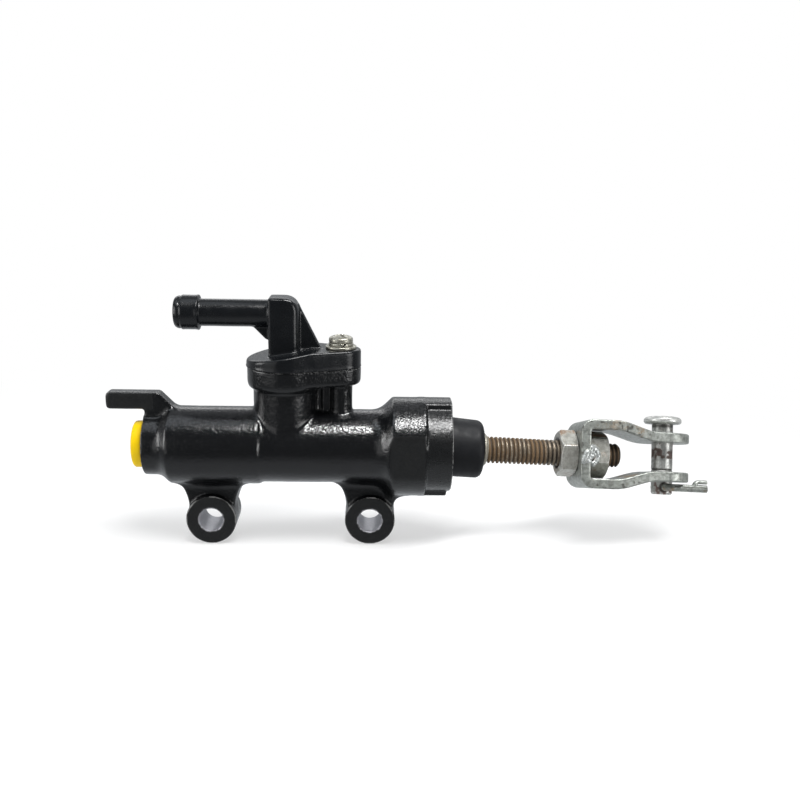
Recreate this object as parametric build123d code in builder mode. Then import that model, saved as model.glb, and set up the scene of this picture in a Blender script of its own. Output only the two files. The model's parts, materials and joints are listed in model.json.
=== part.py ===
from build123d import *
import os

# Rear brake master cylinder of a motorcycle: a cast cylinder with two mounting ears, a plastic hose
# elbow screwed on top, and a ball-ended push rod that carries an adjustable clevis.
#
# Frame: X runs along the cylinder towards the clevis, Y away from the viewer, Z up. The origin is
# midway between the two mounting holes, on the mid-plane of the ears. Lengths are millimetres.

os.makedirs("parts", exist_ok=True)


def save(piece, name):
    """Label a finished piece and write it to its own file."""
    piece.label = name
    export_step(piece, f"parts/{name}.step")


# ---------------------------------------------------------------- driving dimensions
# Mounting ears
EAR_SPACING = 45.0
EAR_R = 7.1
EAR_HALF_T = 5.7
EAR_HOLE_R = 3.25
EAR_CHAMFER = 0.35
WEB_HALF_T = 3.6
WEB_DRAFT = 9.0
WEB_SIDE_R = 6.9
WEB_FLARE = 2.9
WEB_ARC_Z = 2.4

# Cylinder casting, turned about the bore axis
AXIS_Z = 20.7
PORT_X, PORT_R = -41.0, 8.65
NECK_X = -36.3
BARREL_X, BARREL_R = -33.4, 11.0
STEP_X, SLIM_R = -8.7, 10.45
CONE_X = 24.6
COLLAR_X, COLLAR_R = 28.6, 14.1
COLLAR_END_X = 37.8
MOUTH_X, MOUTH_R = 45.2, 12.7
COLLAR_FLAT_Y = 12.7
RIB_HALF_W = 4.4
LOWER_RIB_X = 44.2
EDGE_R = 0.8
NECK_FILLET = 1.2

# Anti-rotation tab above the outlet
TAB_TIP_X, TAB_INNER_X = -51.3, -40.8
TAB_TOP_Z, TAB_UNDER_Z = 36.1, 31.3
TAB_SLOPE_X = -36.7
TAB_HALF_T = 2.3
TAB_CORNER_R = 1.2

# Inlet boss, its flange, and the screw boss
INLET_X, INLET_R = -1.6, 8.85
FLANGE_R = 10.4
FLANGE_Z, FLANGE_THIN_Z, JOINT_Z = 37.9, 39.0, 43.9
SCREW_X, SCREW_END_R = 13.9, 5.6
SCREW_BOSS_R = 3.3
RIB_COLUMN_X, RIB_COLUMN_R = 9.6, 1.7
RIB_HALF_T = 1.1
SCREW_HOLE_R, SCREW_HOLE_Z = 2.05, 33.0
WELL_R, WELL_Z = 5.8, 30.5
SUPPLY_PORT_X, SUPPLY_PORT_R = 2.2, 1.25
BYPASS_PORT_X, BYPASS_PORT_R = -6.8, 0.4

# Bores
BORE_R = 6.35
OUTLET_R, OUTLET_DEPTH = 4.5, 10.0
DRILL_R = 1.6
BORE_END_X = -27.0
SEAT_X, SEAT_R = 35.8, 7.6
CIRCLIP_GROOVE = (37.1, 38.4)
CIRCLIP_GROOVE_R = 8.3
BOOT_BORE_X, BOOT_BORE_R = 39.6, 8.75
BOOT_GROOVE = (40.8, 42.6)
BOOT_GROOVE_R = 9.8

# Outlet plug
PLUG_CAP_R, PLUG_CAP_T = 6.6, 3.1
PLUG_STEM_R, PLUG_STEM_WALL, PLUG_STEM_L = 4.4, 1.1, 8.0
PLUG_EDGE_R = 0.9

# Hose elbow
ELBOW_R = 10.75
ELBOW_LOW_Z, ELBOW_TOP_Z = 46.0, 49.0
ELBOW_SLOPE_X = 6.0
POST_X = (-6.2, 2.85)
POST_HALF_W = 4.4
POST_TOP_Z = 63.2
POST_SHOULDER_R = 4.4
TUBE_Z, TUBE_R = 58.5, 3.75
TUBE_TIP_X = -31.6
BARB_X = (-29.6, -24.9)
BARB_R = (4.8, 4.85)
TUBE_TIP_R = 4.1
TUBE_BORE_R, POST_BORE_R = 2.4, 2.75
GUSSET_HALF_T = 1.1
GUSSET_REACH = 4.2
BACK_GUSSET_TOP_Z, BACK_GUSSET_X = 61.6, 8.3
POST_LEFT_R, POST_RIGHT_R = 1.0, 3.2
SPIGOT_R, SPIGOT_Z = 5.65, 38.6
O_GROOVE_R, O_GROOVE = 4.35, (40.2, 42.0)
O_RING_R = 0.7

# Elbow screw, pan head with a cross recess, over a split washer and a flat washer
SCREW_R, SCREW_TIP_Z = 2.0, 34.5
ELBOW_SCREW_HOLE_R = 2.25
HEAD_R, HEAD_H = 3.35, 2.1
FLAT_WASHER_R, FLAT_WASHER_T = 4.3, 0.8
LOCK_WASHER_R, LOCK_WASHER_T = 3.4, 0.9
SLIT_TURN = 20.0
CROSS_DEPTH, CROSS_HALF_L, CROSS_HALF_W = 1.1, 1.55, 0.42

# Piston, turned; stations are X at rest
RUNNING_GAP = 0.06
PISTON_NOSE_X, PISTON_NOSE_R = -10.8, 3.4
CUP_HEAD = (-7.2, -6.2)
CUP_HEAD_R = 5.3
PRIMARY_SEAT = (-6.2, -2.2)
SEAT_SPINDLE_R = 3.0
FRONT_LAND_X = 0.6
WAIST_R = 4.0
REAR_LAND_X = 19.0
SECONDARY_SEAT = (21.0, 25.0)
CUP_LIP_DEPTH, CUP_LIP_R = 2.4, 4.9
SPRING_R, SPRING_WIRE = 5.5, 1.1

# Push rod; distances run along the rod from the centre of its ball
BALL_X, BALL_R, SOCKET_R = 33.8, 4.6, 4.68
NECK_R = 2.3
SHOULDER = (20.95, 21.4, 22.05)
SHOULDER_R = 4.7
THREAD_R, THREAD_ROOT_R = 3.85, 3.15
THREAD_END, ROD_END = 57.6, 60.8
ROD_YAW, ROD_DROOP = 1.5, 2.7

# Retaining washer and circlip
STOP_WASHER_R, STOP_WASHER_HOLE_R, STOP_WASHER_T = 7.45, 4.2, 1.2
CIRCLIP_R, CIRCLIP_INNER_R, CIRCLIP_T = 8.1, 6.3, 1.0
CIRCLIP_X = 37.25
CIRCLIP_GAP_HALF_W = 2.2
CIRCLIP_LUG_R, CIRCLIP_LUG_HOLE_R = 1.5, 0.6
CIRCLIP_LUG_Y, CIRCLIP_LUG_DROP = 2.8, 5.7

# Dust boot
BOOT_R, BOOT_NOSE_R = 8.5, 8.25
BOOT_FACE = 20.65
BOOT_WALL = 1.2
BOOT_HOLE_R = 3.45
BOOT_NOSE_FILLET = 1.8
BOOT_BEAD_R = 9.6
BOOT_PLAY = 0.1

# Clevis, bent from strip, turned about the rod by its roll
CLEVIS_ROLL = 19.0
STRIP_T = 2.85
PLATE = 47.7
ARM_HEIGHT = 9.8
EYE_HEIGHT = 7.0
ARM_LENGTH_WIDE, EYE_STRAIGHT = 59.5, 68.5
BASE_HALF_W, EYE_R = 8.5, 7.5
PIN_AT = 73.9
BEND_R, JOGGLE_R = 2.2, 14.0
PLATE_HOLE_R = 4.2

# Nuts
NUT_AF = 12.0
NUT_BORE_R = 3.93
NUT_CHAMFER_R = 5.9
CHAMFER_SLOPE = 0.58
LOCK_NUT_T, LOCK_NUT_TURN = 5.0, -16.5
CLEVIS_NUT_T, CLEVIS_NUT_TURN = 6.1, 21.0

# Clevis pin and cotter
PIN_R, PIN_HOLE_R = 3.0, 3.08
PIN_LOW, PIN_HEAD_LOW, PIN_HEAD_TOP = -10.7, 9.9, 12.0
PIN_HEAD_R = 5.35
PIN_END_CHAMFER = 0.5
COTTER_H, COTTER_R = -8.6, 1.1
COTTER_HOLE_R = 1.2
COTTER_FRONT = 4.3
COTTER_EYE_R, COTTER_EYE_AT, COTTER_EYE_LEAN = 1.9, 6.0, 1.6
COTTER_LEG_END = 85.7
COTTER_BEND_R = 1.3
COTTER_SHORT_RAISE, COTTER_RAISE_RUN = 1.75, 0.8
COTTER_RAISE_AT = 81.8
COTTER_LEG_R = 0.75

# ---------------------------------------------------------------- axes and planes
bore_axis = Axis((0, 0, AXIS_Z), (1, 0, 0))
bore_plane = Plane(origin=(0, 0, AXIS_Z), x_dir=(1, 0, 0), z_dir=(0, -1, 0))


def across(x):
    """The plane square to the bore at station x."""
    return Plane(origin=(x, 0, AXIS_Z), x_dir=(0, 1, 0), z_dir=(1, 0, 0))


ball = Vector(BALL_X, 0, AXIS_Z)
rod_dir = Vector(1, 0, 0).rotate(Axis.Y, ROD_DROOP).rotate(Axis.Z, ROD_YAW)
rod_axis = Axis(ball, rod_dir)
rod_back = Vector(0, 1, 0).rotate(Axis.Z, ROD_YAW)
rod_back = rod_back.rotate(Axis((0, 0, 0), rod_dir), -CLEVIS_ROLL)
rod_up = rod_dir.cross(rod_back)
# Side view of the clevis, along its pin's crosswise direction, and its plan view, along the pin
side_plane = Plane(origin=ball, x_dir=rod_dir, z_dir=-rod_back)
plan_plane = Plane(origin=ball, x_dir=rod_dir, z_dir=rod_up)


def station(distance):
    """The plane square to the rod at a distance from its ball; its Y points up the clevis pin."""
    return Plane(origin=ball + rod_dir * distance, x_dir=rod_back, z_dir=rod_dir)


pin_axis = Axis(ball + rod_dir * PIN_AT, rod_up)
eye_centre = ball + rod_dir * (PIN_AT + COTTER_EYE_LEAN) + rod_up * COTTER_H + rod_back * COTTER_EYE_AT
tube_plane = Plane(origin=(0, 0, TUBE_Z), x_dir=(1, 0, 0), z_dir=(0, -1, 0))
tube_axis = Axis((0, 0, TUBE_Z), (1, 0, 0))
spigot_plane = Plane(origin=(INLET_X, 0, 0), x_dir=(1, 0, 0), z_dir=(0, -1, 0))
spigot_axis = Axis((INLET_X, 0, 0), (0, 0, 1))


def ear_web(x, left_top, right_top):
    """Outline of the web that joins an ear to the barrel, flaring out to the two given points."""
    left, right = x - WEB_SIDE_R, x + WEB_SIDE_R
    with BuildSketch() as web:
        with BuildLine():
            Polyline(left_top, (left_top[0], AXIS_Z), (right_top[0], AXIS_Z), right_top)
            TangentArc((right, WEB_ARC_Z), right_top, tangent=(0, 1))
            Polyline((right, WEB_ARC_Z), (right, 0), (left, 0), (left, WEB_ARC_Z))
            TangentArc((left, WEB_ARC_Z), left_top, tangent=(0, 1))
        make_face()
    return web.sketch


# ---------------------------------------------------------------- cylinder body
with BuildPart() as cylinder_body:
    # Barrel, cone, collar and mouth
    with BuildSketch(bore_plane) as barrel_profile:
        with BuildLine():
            Polyline(
                (PORT_X, 0),
                (PORT_X, PORT_R),
                (NECK_X, PORT_R),
                (BARREL_X, BARREL_R),
                (STEP_X, BARREL_R),
                (STEP_X + EDGE_R, SLIM_R),
                (CONE_X, SLIM_R),
                (COLLAR_X, COLLAR_R),
                (COLLAR_END_X, COLLAR_R),
                (COLLAR_END_X, MOUTH_R),
                (MOUTH_X, MOUTH_R),
                (MOUTH_X, 0),
                close=True,
            )
        make_face()
        outer = [v for v in barrel_profile.vertices() if v.Y > PORT_R / 2]
        fillet([v for v in outer if v.X in (NECK_X, CONE_X)], NECK_FILLET)
        outer = [v for v in barrel_profile.vertices() if v.Y > PORT_R / 2]
        fillet([v for v in outer if v.X in (PORT_X, BARREL_X, COLLAR_X)], EDGE_R)
    revolve(axis=bore_axis)

    # Two flats on the collar
    for side in (-1, 1):
        with BuildSketch(Plane.XZ.offset(side * COLLAR_FLAT_Y)):
            with Locations(((CONE_X + COLLAR_END_X) / 2, AXIS_Z)):
                Rectangle(COLLAR_END_X - CONE_X, 2 * COLLAR_R)
        extrude(amount=side * COLLAR_R, mode=Mode.SUBTRACT)

    # Ribs that carry the collar's height out over the mouth, above and below
    for side, end in ((1, MOUTH_X), (-1, LOWER_RIB_X)):
        with BuildSketch(across(COLLAR_END_X - EDGE_R)):
            Circle(COLLAR_R)
            with Locations((0, side * COLLAR_R)):
                Rectangle(2 * RIB_HALF_W, 2 * (COLLAR_R - RIB_HALF_W), mode=Mode.INTERSECT)
        extrude(amount=end - COLLAR_END_X + EDGE_R)

    # Ears and their drafted webs
    barrel_low = AXIS_Z - BARREL_R + EDGE_R
    collar_low = AXIS_Z - COLLAR_R + EDGE_R
    left_x, right_x = -EAR_SPACING / 2, EAR_SPACING / 2
    web_out = WEB_SIDE_R + WEB_FLARE
    with BuildSketch(Plane.XZ):
        add(ear_web(left_x, (left_x - web_out, barrel_low), (left_x + web_out, barrel_low)))
        add(ear_web(right_x, (right_x - web_out, barrel_low), (right_x + web_out + EDGE_R, collar_low)))
    extrude(amount=WEB_HALF_T, both=True, taper=WEB_DRAFT)
    with BuildSketch(Plane.XZ):
        with Locations((left_x, 0), (right_x, 0)):
            Circle(EAR_R)
    extrude(amount=EAR_HALF_T, both=True)

    # Anti-rotation tab
    with BuildSketch(Plane.XZ) as tab:
        with BuildLine():
            Polyline(
                (TAB_TIP_X, TAB_UNDER_Z),
                (TAB_TIP_X, TAB_TOP_Z),
                (TAB_SLOPE_X, TAB_TOP_Z),
                (TAB_SLOPE_X + TAB_TOP_Z - AXIS_Z - BARREL_R, AXIS_Z + BARREL_R),
                (BARREL_X + EDGE_R, AXIS_Z + PORT_R - EDGE_R),
                (TAB_INNER_X, AXIS_Z + PORT_R - EDGE_R),
                (TAB_INNER_X, TAB_UNDER_Z),
                close=True,
            )
        make_face()
        fillet(tab.vertices().group_by(Axis.X)[0], TAB_CORNER_R)
    extrude(amount=TAB_HALF_T, both=True)

    # Inlet boss, teardrop flange, screw boss and the rib between them
    with BuildSketch(Plane.XY.offset(AXIS_Z)):
        with Locations((INLET_X, 0)):
            Circle(INLET_R)
        with Locations((SCREW_X, 0)):
            Circle(SCREW_BOSS_R)
        with Locations((RIB_COLUMN_X, 0)):
            Circle(RIB_COLUMN_R)
        with Locations(((INLET_X + SCREW_X) / 2, 0)):
            Rectangle(SCREW_X - INLET_X, 2 * RIB_HALF_T)
    extrude(amount=JOINT_Z - AXIS_Z)
    with BuildSketch(Plane.XY.offset(FLANGE_Z)):
        with Locations((INLET_X, 0)):
            Circle(FLANGE_R)
    extrude(amount=JOINT_Z - FLANGE_Z)
    with BuildSketch(Plane.XY.offset(FLANGE_THIN_Z)):
        with Locations((INLET_X, 0)):
            Circle(FLANGE_R)
        with Locations((SCREW_X, 0)):
            Circle(SCREW_END_R)
        make_hull()
    extrude(amount=JOINT_Z - FLANGE_THIN_Z)

    # Bore, outlet port, seat of the retaining washer, circlip groove and boot groove
    with BuildSketch(bore_plane):
        with BuildLine():
            Polyline(
                (PORT_X, 0),
                (PORT_X, OUTLET_R),
                (PORT_X + OUTLET_DEPTH, OUTLET_R),
                (PORT_X + OUTLET_DEPTH, DRILL_R),
                (BORE_END_X, DRILL_R),
                (BORE_END_X, BORE_R),
                (SEAT_X, BORE_R),
                (SEAT_X, SEAT_R),
                (CIRCLIP_GROOVE[0], SEAT_R),
                (CIRCLIP_GROOVE[0], CIRCLIP_GROOVE_R),
                (CIRCLIP_GROOVE[1], CIRCLIP_GROOVE_R),
                (CIRCLIP_GROOVE[1], SEAT_R),
                (BOOT_BORE_X, SEAT_R),
                (BOOT_BORE_X, BOOT_BORE_R),
                (BOOT_GROOVE[0], BOOT_BORE_R),
                (BOOT_GROOVE[0], BOOT_GROOVE_R),
                (BOOT_GROOVE[1], BOOT_GROOVE_R),
                (BOOT_GROOVE[1], BOOT_BORE_R),
                (MOUTH_X, BOOT_BORE_R),
                (MOUTH_X, 0),
                close=True,
            )
        make_face()
    revolve(axis=bore_axis, mode=Mode.SUBTRACT)

    # Fluid well with its two ports, and the screw hole
    for x, radius, low in (
        (INLET_X, WELL_R, WELL_Z),
        (SUPPLY_PORT_X, SUPPLY_PORT_R, AXIS_Z),
        (BYPASS_PORT_X, BYPASS_PORT_R, AXIS_Z),
        (SCREW_X, SCREW_HOLE_R, SCREW_HOLE_Z),
    ):
        with BuildSketch(Plane.XY.offset(low)):
            with Locations((x, 0)):
                Circle(radius)
        extrude(amount=JOINT_Z - low, mode=Mode.SUBTRACT)

    # Mounting holes, chamfered at both faces
    with BuildSketch(Plane.XZ):
        with Locations((left_x, 0), (right_x, 0)):
            Circle(EAR_HOLE_R)
    extrude(amount=EAR_HALF_T, both=True, mode=Mode.SUBTRACT)
    low_rings = [e for e in cylinder_body.edges().filter_by(GeomType.CIRCLE) if e.center().Z < EAR_R]
    chamfer([e for e in low_rings if abs(e.radius - EAR_HOLE_R) < EAR_CHAMFER], EAR_CHAMFER)
save(cylinder_body.part, "cylinder_body")

# ---------------------------------------------------------------- outlet plug
with BuildPart() as outlet_plug:
    with BuildSketch(across(PORT_X - PLUG_CAP_T)):
        Circle(PLUG_CAP_R)
    extrude(amount=PLUG_CAP_T)
    fillet(outlet_plug.edges().group_by(Axis.X)[0], PLUG_EDGE_R)
    with BuildSketch(across(PORT_X)):
        Circle(PLUG_STEM_R)
    extrude(amount=PLUG_STEM_L)
    with BuildSketch(across(PORT_X)):
        Circle(PLUG_STEM_R - PLUG_STEM_WALL)
    extrude(amount=PLUG_STEM_L, mode=Mode.SUBTRACT)
save(outlet_plug.part, "outlet_plug")

# ---------------------------------------------------------------- hose elbow
# Post of the elbow: small corner radii on the tube's side, large ones at the back and one shoulder
with BuildPart() as post:
    with BuildSketch(Plane.XY.offset(JOINT_Z)) as post_plan:
        with Locations((sum(POST_X) / 2, 0)):
            Rectangle(POST_X[1] - POST_X[0], 2 * POST_HALF_W)
        fillet(post_plan.vertices().group_by(Axis.X)[0], POST_LEFT_R)
        fillet(post_plan.vertices().group_by(Axis.X)[-1], POST_RIGHT_R)
    extrude(amount=POST_TOP_Z - JOINT_Z)
    with BuildSketch(Plane.XZ) as post_side:
        with Locations((sum(POST_X) / 2, (JOINT_Z + POST_TOP_Z) / 2)):
            Rectangle(POST_X[1] - POST_X[0], POST_TOP_Z - JOINT_Z)
        fillet(post_side.vertices().group_by(Axis.X)[-1].sort_by(Axis.Y)[-1], POST_SHOULDER_R)
    extrude(amount=POST_HALF_W, both=True, mode=Mode.INTERSECT)
with BuildPart() as hose_elbow:
    # Sloping flange that follows the casting's outline
    with BuildSketch(Plane.XY.offset(JOINT_Z)):
        with Locations((INLET_X, 0)):
            Circle(ELBOW_R)
        with Locations((SCREW_X, 0)):
            Circle(SCREW_END_R)
        make_hull()
    extrude(amount=ELBOW_TOP_Z - JOINT_Z)
    slope_start = INLET_X - ELBOW_R
    with BuildSketch(Plane.XZ):
        with BuildLine():
            Polyline(
                (slope_start, ELBOW_LOW_Z),
                (ELBOW_SLOPE_X, ELBOW_TOP_Z),
                (slope_start, ELBOW_TOP_Z),
                close=True,
            )
        make_face()
    extrude(amount=ELBOW_R, both=True, mode=Mode.SUBTRACT)

    add(post.part)

    # Gusset under the tube, and the long one from the post down to the screw
    with BuildSketch(Plane.XZ):
        with BuildLine():
            Polyline(
                (POST_X[0] - GUSSET_REACH, TUBE_Z),
                (POST_X[0] - GUSSET_REACH, TUBE_Z - TUBE_R + EDGE_R / 4),
                (POST_X[0] - EDGE_R, TUBE_Z - 2 * TUBE_R + EDGE_R / 2),
                (POST_X[0] + EDGE_R, TUBE_Z - 2 * TUBE_R),
                (POST_X[0] + EDGE_R, TUBE_Z),
                close=True,
            )
        make_face()
        with BuildLine():
            Polyline(
                (POST_X[1] - POST_SHOULDER_R, JOINT_Z),
                (POST_X[1] - POST_SHOULDER_R, POST_TOP_Z - POST_SHOULDER_R),
                (POST_X[1] - EDGE_R, BACK_GUSSET_TOP_Z),
                (BACK_GUSSET_X, ELBOW_TOP_Z),
                (BACK_GUSSET_X, JOINT_Z),
                close=True,
            )
        make_face()
    extrude(amount=GUSSET_HALF_T, both=True)

    # Hose tube with its barb, and the spigot with its O-ring groove
    with BuildSketch(tube_plane):
        with BuildLine():
            Polyline(
                (TUBE_TIP_X, 0),
                (TUBE_TIP_X, TUBE_TIP_R),
                (BARB_X[0], BARB_R[0]),
                (BARB_X[1], BARB_R[1]),
                (BARB_X[1], TUBE_R),
                (POST_X[0] + EDGE_R, TUBE_R),
                (POST_X[0] + EDGE_R, 0),
                close=True,
            )
        make_face()
    revolve(axis=tube_axis)
    with BuildSketch(spigot_plane):
        with BuildLine():
            Polyline(
                (0, SPIGOT_Z),
                (SPIGOT_R, SPIGOT_Z),
                (SPIGOT_R, O_GROOVE[0]),
                (O_GROOVE_R, O_GROOVE[0]),
                (O_GROOVE_R, O_GROOVE[1]),
                (SPIGOT_R, O_GROOVE[1]),
                (SPIGOT_R, JOINT_Z),
                (0, JOINT_Z),
                close=True,
            )
        make_face()
    revolve(axis=spigot_axis)

    # Fluid way through the tube, down the post and out of the spigot; then the screw hole
    with BuildSketch(across(TUBE_TIP_X).move(Location((0, 0, TUBE_Z - AXIS_Z)))):
        Circle(TUBE_BORE_R)
    extrude(amount=INLET_X - TUBE_TIP_X, mode=Mode.SUBTRACT)
    with BuildSketch(Plane.XY.offset(SPIGOT_Z)):
        with Locations((INLET_X, 0)):
            Circle(POST_BORE_R)
    extrude(amount=TUBE_Z - SPIGOT_Z, mode=Mode.SUBTRACT)
    with BuildSketch(Plane.XY.offset(JOINT_Z)):
        with Locations((SCREW_X, 0)):
            Circle(ELBOW_SCREW_HOLE_R)
    extrude(amount=ELBOW_TOP_Z - JOINT_Z, mode=Mode.SUBTRACT)
save(hose_elbow.part, "hose_elbow")

# ---------------------------------------------------------------- O-ring of the elbow
with BuildPart() as elbow_o_ring:
    with BuildSketch(spigot_plane):
        with Locations(((O_GROOVE_R + WELL_R) / 2, sum(O_GROOVE) / 2)):
            Circle(O_RING_R)
    revolve(axis=spigot_axis)
save(elbow_o_ring.part, "elbow_o_ring")

# ---------------------------------------------------------------- elbow screw and its washers
lock_washer_z = ELBOW_TOP_Z + FLAT_WASHER_T
head_z = lock_washer_z + LOCK_WASHER_T

with BuildPart() as screw_flat_washer:
    with BuildSketch(Plane.XY.offset(ELBOW_TOP_Z)):
        with Locations((SCREW_X, 0)):
            Circle(FLAT_WASHER_R)
            Circle(ELBOW_SCREW_HOLE_R, mode=Mode.SUBTRACT)
    extrude(amount=FLAT_WASHER_T)
save(screw_flat_washer.part, "screw_flat_washer")

with BuildPart() as screw_lock_washer:
    with BuildSketch(Plane.XY.offset(lock_washer_z)):
        with Locations((SCREW_X, 0)):
            Circle(LOCK_WASHER_R)
            Circle(ELBOW_SCREW_HOLE_R, mode=Mode.SUBTRACT)
        with Locations((SCREW_X + LOCK_WASHER_R, 0)):
            slit_l = 2 * (LOCK_WASHER_R - SCREW_R)
            Rectangle(slit_l, LOCK_WASHER_T, rotation=SLIT_TURN, mode=Mode.SUBTRACT)
    extrude(amount=LOCK_WASHER_T)
save(screw_lock_washer.part, "screw_lock_washer")

with BuildPart() as elbow_screw:
    with BuildSketch(Plane.XY.offset(head_z)):
        with Locations((SCREW_X, 0)):
            Circle(HEAD_R)
    extrude(amount=HEAD_H)
    fillet(elbow_screw.edges().group_by(Axis.Z)[-1], EDGE_R)
    with BuildSketch(Plane.XY.offset(SCREW_TIP_Z)):
        with Locations((SCREW_X, 0)):
            Circle(SCREW_R)
    extrude(amount=head_z - SCREW_TIP_Z)
    with BuildSketch(Plane.XY.offset(head_z + HEAD_H - CROSS_DEPTH)):
        with Locations((SCREW_X, 0)):
            Rectangle(2 * CROSS_HALF_L, 2 * CROSS_HALF_W)
            Rectangle(2 * CROSS_HALF_W, 2 * CROSS_HALF_L)
    extrude(amount=CROSS_DEPTH, mode=Mode.SUBTRACT)
save(elbow_screw.part, "elbow_screw")

# ---------------------------------------------------------------- piston and its cups
piston_r = BORE_R - RUNNING_GAP
with BuildPart() as piston:
    with BuildSketch(bore_plane):
        with BuildLine():
            Polyline(
                (PISTON_NOSE_X, 0),
                (PISTON_NOSE_X, PISTON_NOSE_R),
                (CUP_HEAD[0], PISTON_NOSE_R),
                (CUP_HEAD[0], CUP_HEAD_R),
                (CUP_HEAD[1], CUP_HEAD_R),
                (PRIMARY_SEAT[0], SEAT_SPINDLE_R),
                (PRIMARY_SEAT[1], SEAT_SPINDLE_R),
                (PRIMARY_SEAT[1], piston_r),
                (FRONT_LAND_X, piston_r),
                (FRONT_LAND_X, WAIST_R),
                (REAR_LAND_X, WAIST_R),
                (REAR_LAND_X, piston_r),
                (SECONDARY_SEAT[0], piston_r),
                (SECONDARY_SEAT[0], WAIST_R),
                (SECONDARY_SEAT[1], WAIST_R),
                (SECONDARY_SEAT[1], piston_r),
                (SEAT_X, piston_r),
                (SEAT_X, 0),
                close=True,
            )
        make_face()
    revolve(axis=bore_axis)
    # Round-bottomed socket for the rod's ball
    with BuildSketch(bore_plane):
        with BuildLine():
            CenterArc((BALL_X, 0), SOCKET_R, 90, 90)
            Polyline((BALL_X - SOCKET_R, 0), (SEAT_X, 0), (SEAT_X, SOCKET_R), (BALL_X, SOCKET_R))
        make_face()
    revolve(axis=bore_axis, mode=Mode.SUBTRACT)
save(piston.part, "piston")


def cup_profile(seat, spindle_r):
    """Half section of a lip seal that sits on a spindle and opens towards the pressure side."""
    lip_x = seat[0] + CUP_LIP_DEPTH
    with BuildSketch() as section:
        with BuildLine():
            Polyline(
                (seat[1], spindle_r),
                (seat[1], piston_r),
                (seat[0], piston_r),
                (lip_x, CUP_LIP_R),
                (seat[0], (CUP_LIP_R + spindle_r) / 2),
                (seat[0], spindle_r),
                close=True,
            )
        make_face()
    return section.sketch


with BuildPart() as primary_cup:
    with BuildSketch(bore_plane):
        add(cup_profile(PRIMARY_SEAT, SEAT_SPINDLE_R))
    revolve(axis=bore_axis)
save(primary_cup.part, "primary_cup")

with BuildPart() as secondary_cup:
    with BuildSketch(bore_plane):
        add(cup_profile(SECONDARY_SEAT, WAIST_R))
    revolve(axis=bore_axis)
save(secondary_cup.part, "secondary_cup")

# ---------------------------------------------------------------- return spring, as its outer sleeve
with BuildPart() as return_spring:
    with BuildSketch(across(BORE_END_X)):
        Circle(SPRING_R)
        Circle(SPRING_R - SPRING_WIRE, mode=Mode.SUBTRACT)
    extrude(amount=CUP_HEAD[0] - BORE_END_X)
save(return_spring.part, "return_spring")

# ---------------------------------------------------------------- retaining washer and circlip
with BuildPart() as stop_washer:
    with BuildSketch(across(SEAT_X)):
        Circle(STOP_WASHER_R)
        Circle(STOP_WASHER_HOLE_R, mode=Mode.SUBTRACT)
    extrude(amount=STOP_WASHER_T)
save(stop_washer.part, "stop_washer")

with BuildPart() as circlip:
    with BuildSketch(across(CIRCLIP_X)):
        Circle(CIRCLIP_R)
        Circle(CIRCLIP_INNER_R, mode=Mode.SUBTRACT)
        with Locations((0, -CIRCLIP_R)):
            Rectangle(2 * CIRCLIP_GAP_HALF_W, 2 * (CIRCLIP_R - WAIST_R), mode=Mode.SUBTRACT)
        with Locations((-CIRCLIP_LUG_Y, -CIRCLIP_LUG_DROP), (CIRCLIP_LUG_Y, -CIRCLIP_LUG_DROP)):
            Circle(CIRCLIP_LUG_R)
            Circle(CIRCLIP_LUG_HOLE_R, mode=Mode.SUBTRACT)
    extrude(amount=CIRCLIP_T)
save(circlip.part, "circlip")

# ---------------------------------------------------------------- dust boot
with BuildPart() as dust_boot:
    # Root held in the body's groove
    with BuildSketch(bore_plane):
        with BuildLine():
            Polyline(
                (BOOT_GROOVE[0] + BOOT_PLAY, BOOT_R - BOOT_WALL),
                (BOOT_GROOVE[0] + BOOT_PLAY, BOOT_BEAD_R),
                (BOOT_GROOVE[1] - BOOT_PLAY, BOOT_BEAD_R),
                (BOOT_GROOVE[1] - BOOT_PLAY, BOOT_R),
                (MOUTH_X, BOOT_R),
                (MOUTH_X, BOOT_R - BOOT_WALL),
                close=True,
            )
        make_face()
    revolve(axis=bore_axis)
    # Cup that leans with the rod
    with BuildSketch(across(MOUTH_X)):
        Circle(BOOT_R)
    with BuildSketch(station(BOOT_FACE)):
        Circle(BOOT_NOSE_R)
    loft()
    fillet(dust_boot.edges().filter_by(GeomType.CIRCLE).sort_by(Axis.X)[-1], BOOT_NOSE_FILLET)
    with BuildSketch(across(MOUTH_X)):
        Circle(BOOT_R - BOOT_WALL)
    with BuildSketch(station(BOOT_FACE - BOOT_WALL)):
        Circle(BOOT_NOSE_R - BOOT_WALL)
    loft(mode=Mode.SUBTRACT)
    with BuildSketch(station(BOOT_FACE - 2 * BOOT_WALL)):
        Circle(BOOT_HOLE_R)
    extrude(amount=3 * BOOT_WALL, mode=Mode.SUBTRACT)
save(dust_boot.part, "dust_boot")

# ---------------------------------------------------------------- push rod
with BuildPart() as push_rod:
    with BuildSketch(side_plane):
        with BuildLine():
            neck_start = (BALL_R**2 - NECK_R**2) ** 0.5
            ThreePointArc((-BALL_R, 0), (0, BALL_R), (neck_start, NECK_R))
            Polyline(
                (neck_start, NECK_R),
                (SHOULDER[0], NECK_R),
                (SHOULDER[0], SHOULDER_R),
                (SHOULDER[1], SHOULDER_R),
                (SHOULDER[2], THREAD_R),
                (THREAD_END, THREAD_R),
                (THREAD_END + THREAD_R - THREAD_ROOT_R, THREAD_ROOT_R),
                (ROD_END, THREAD_ROOT_R),
                (ROD_END, 0),
                (-BALL_R, 0),
            )
        make_face()
    revolve(axis=rod_axis)
save(push_rod.part, "push_rod")


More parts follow.
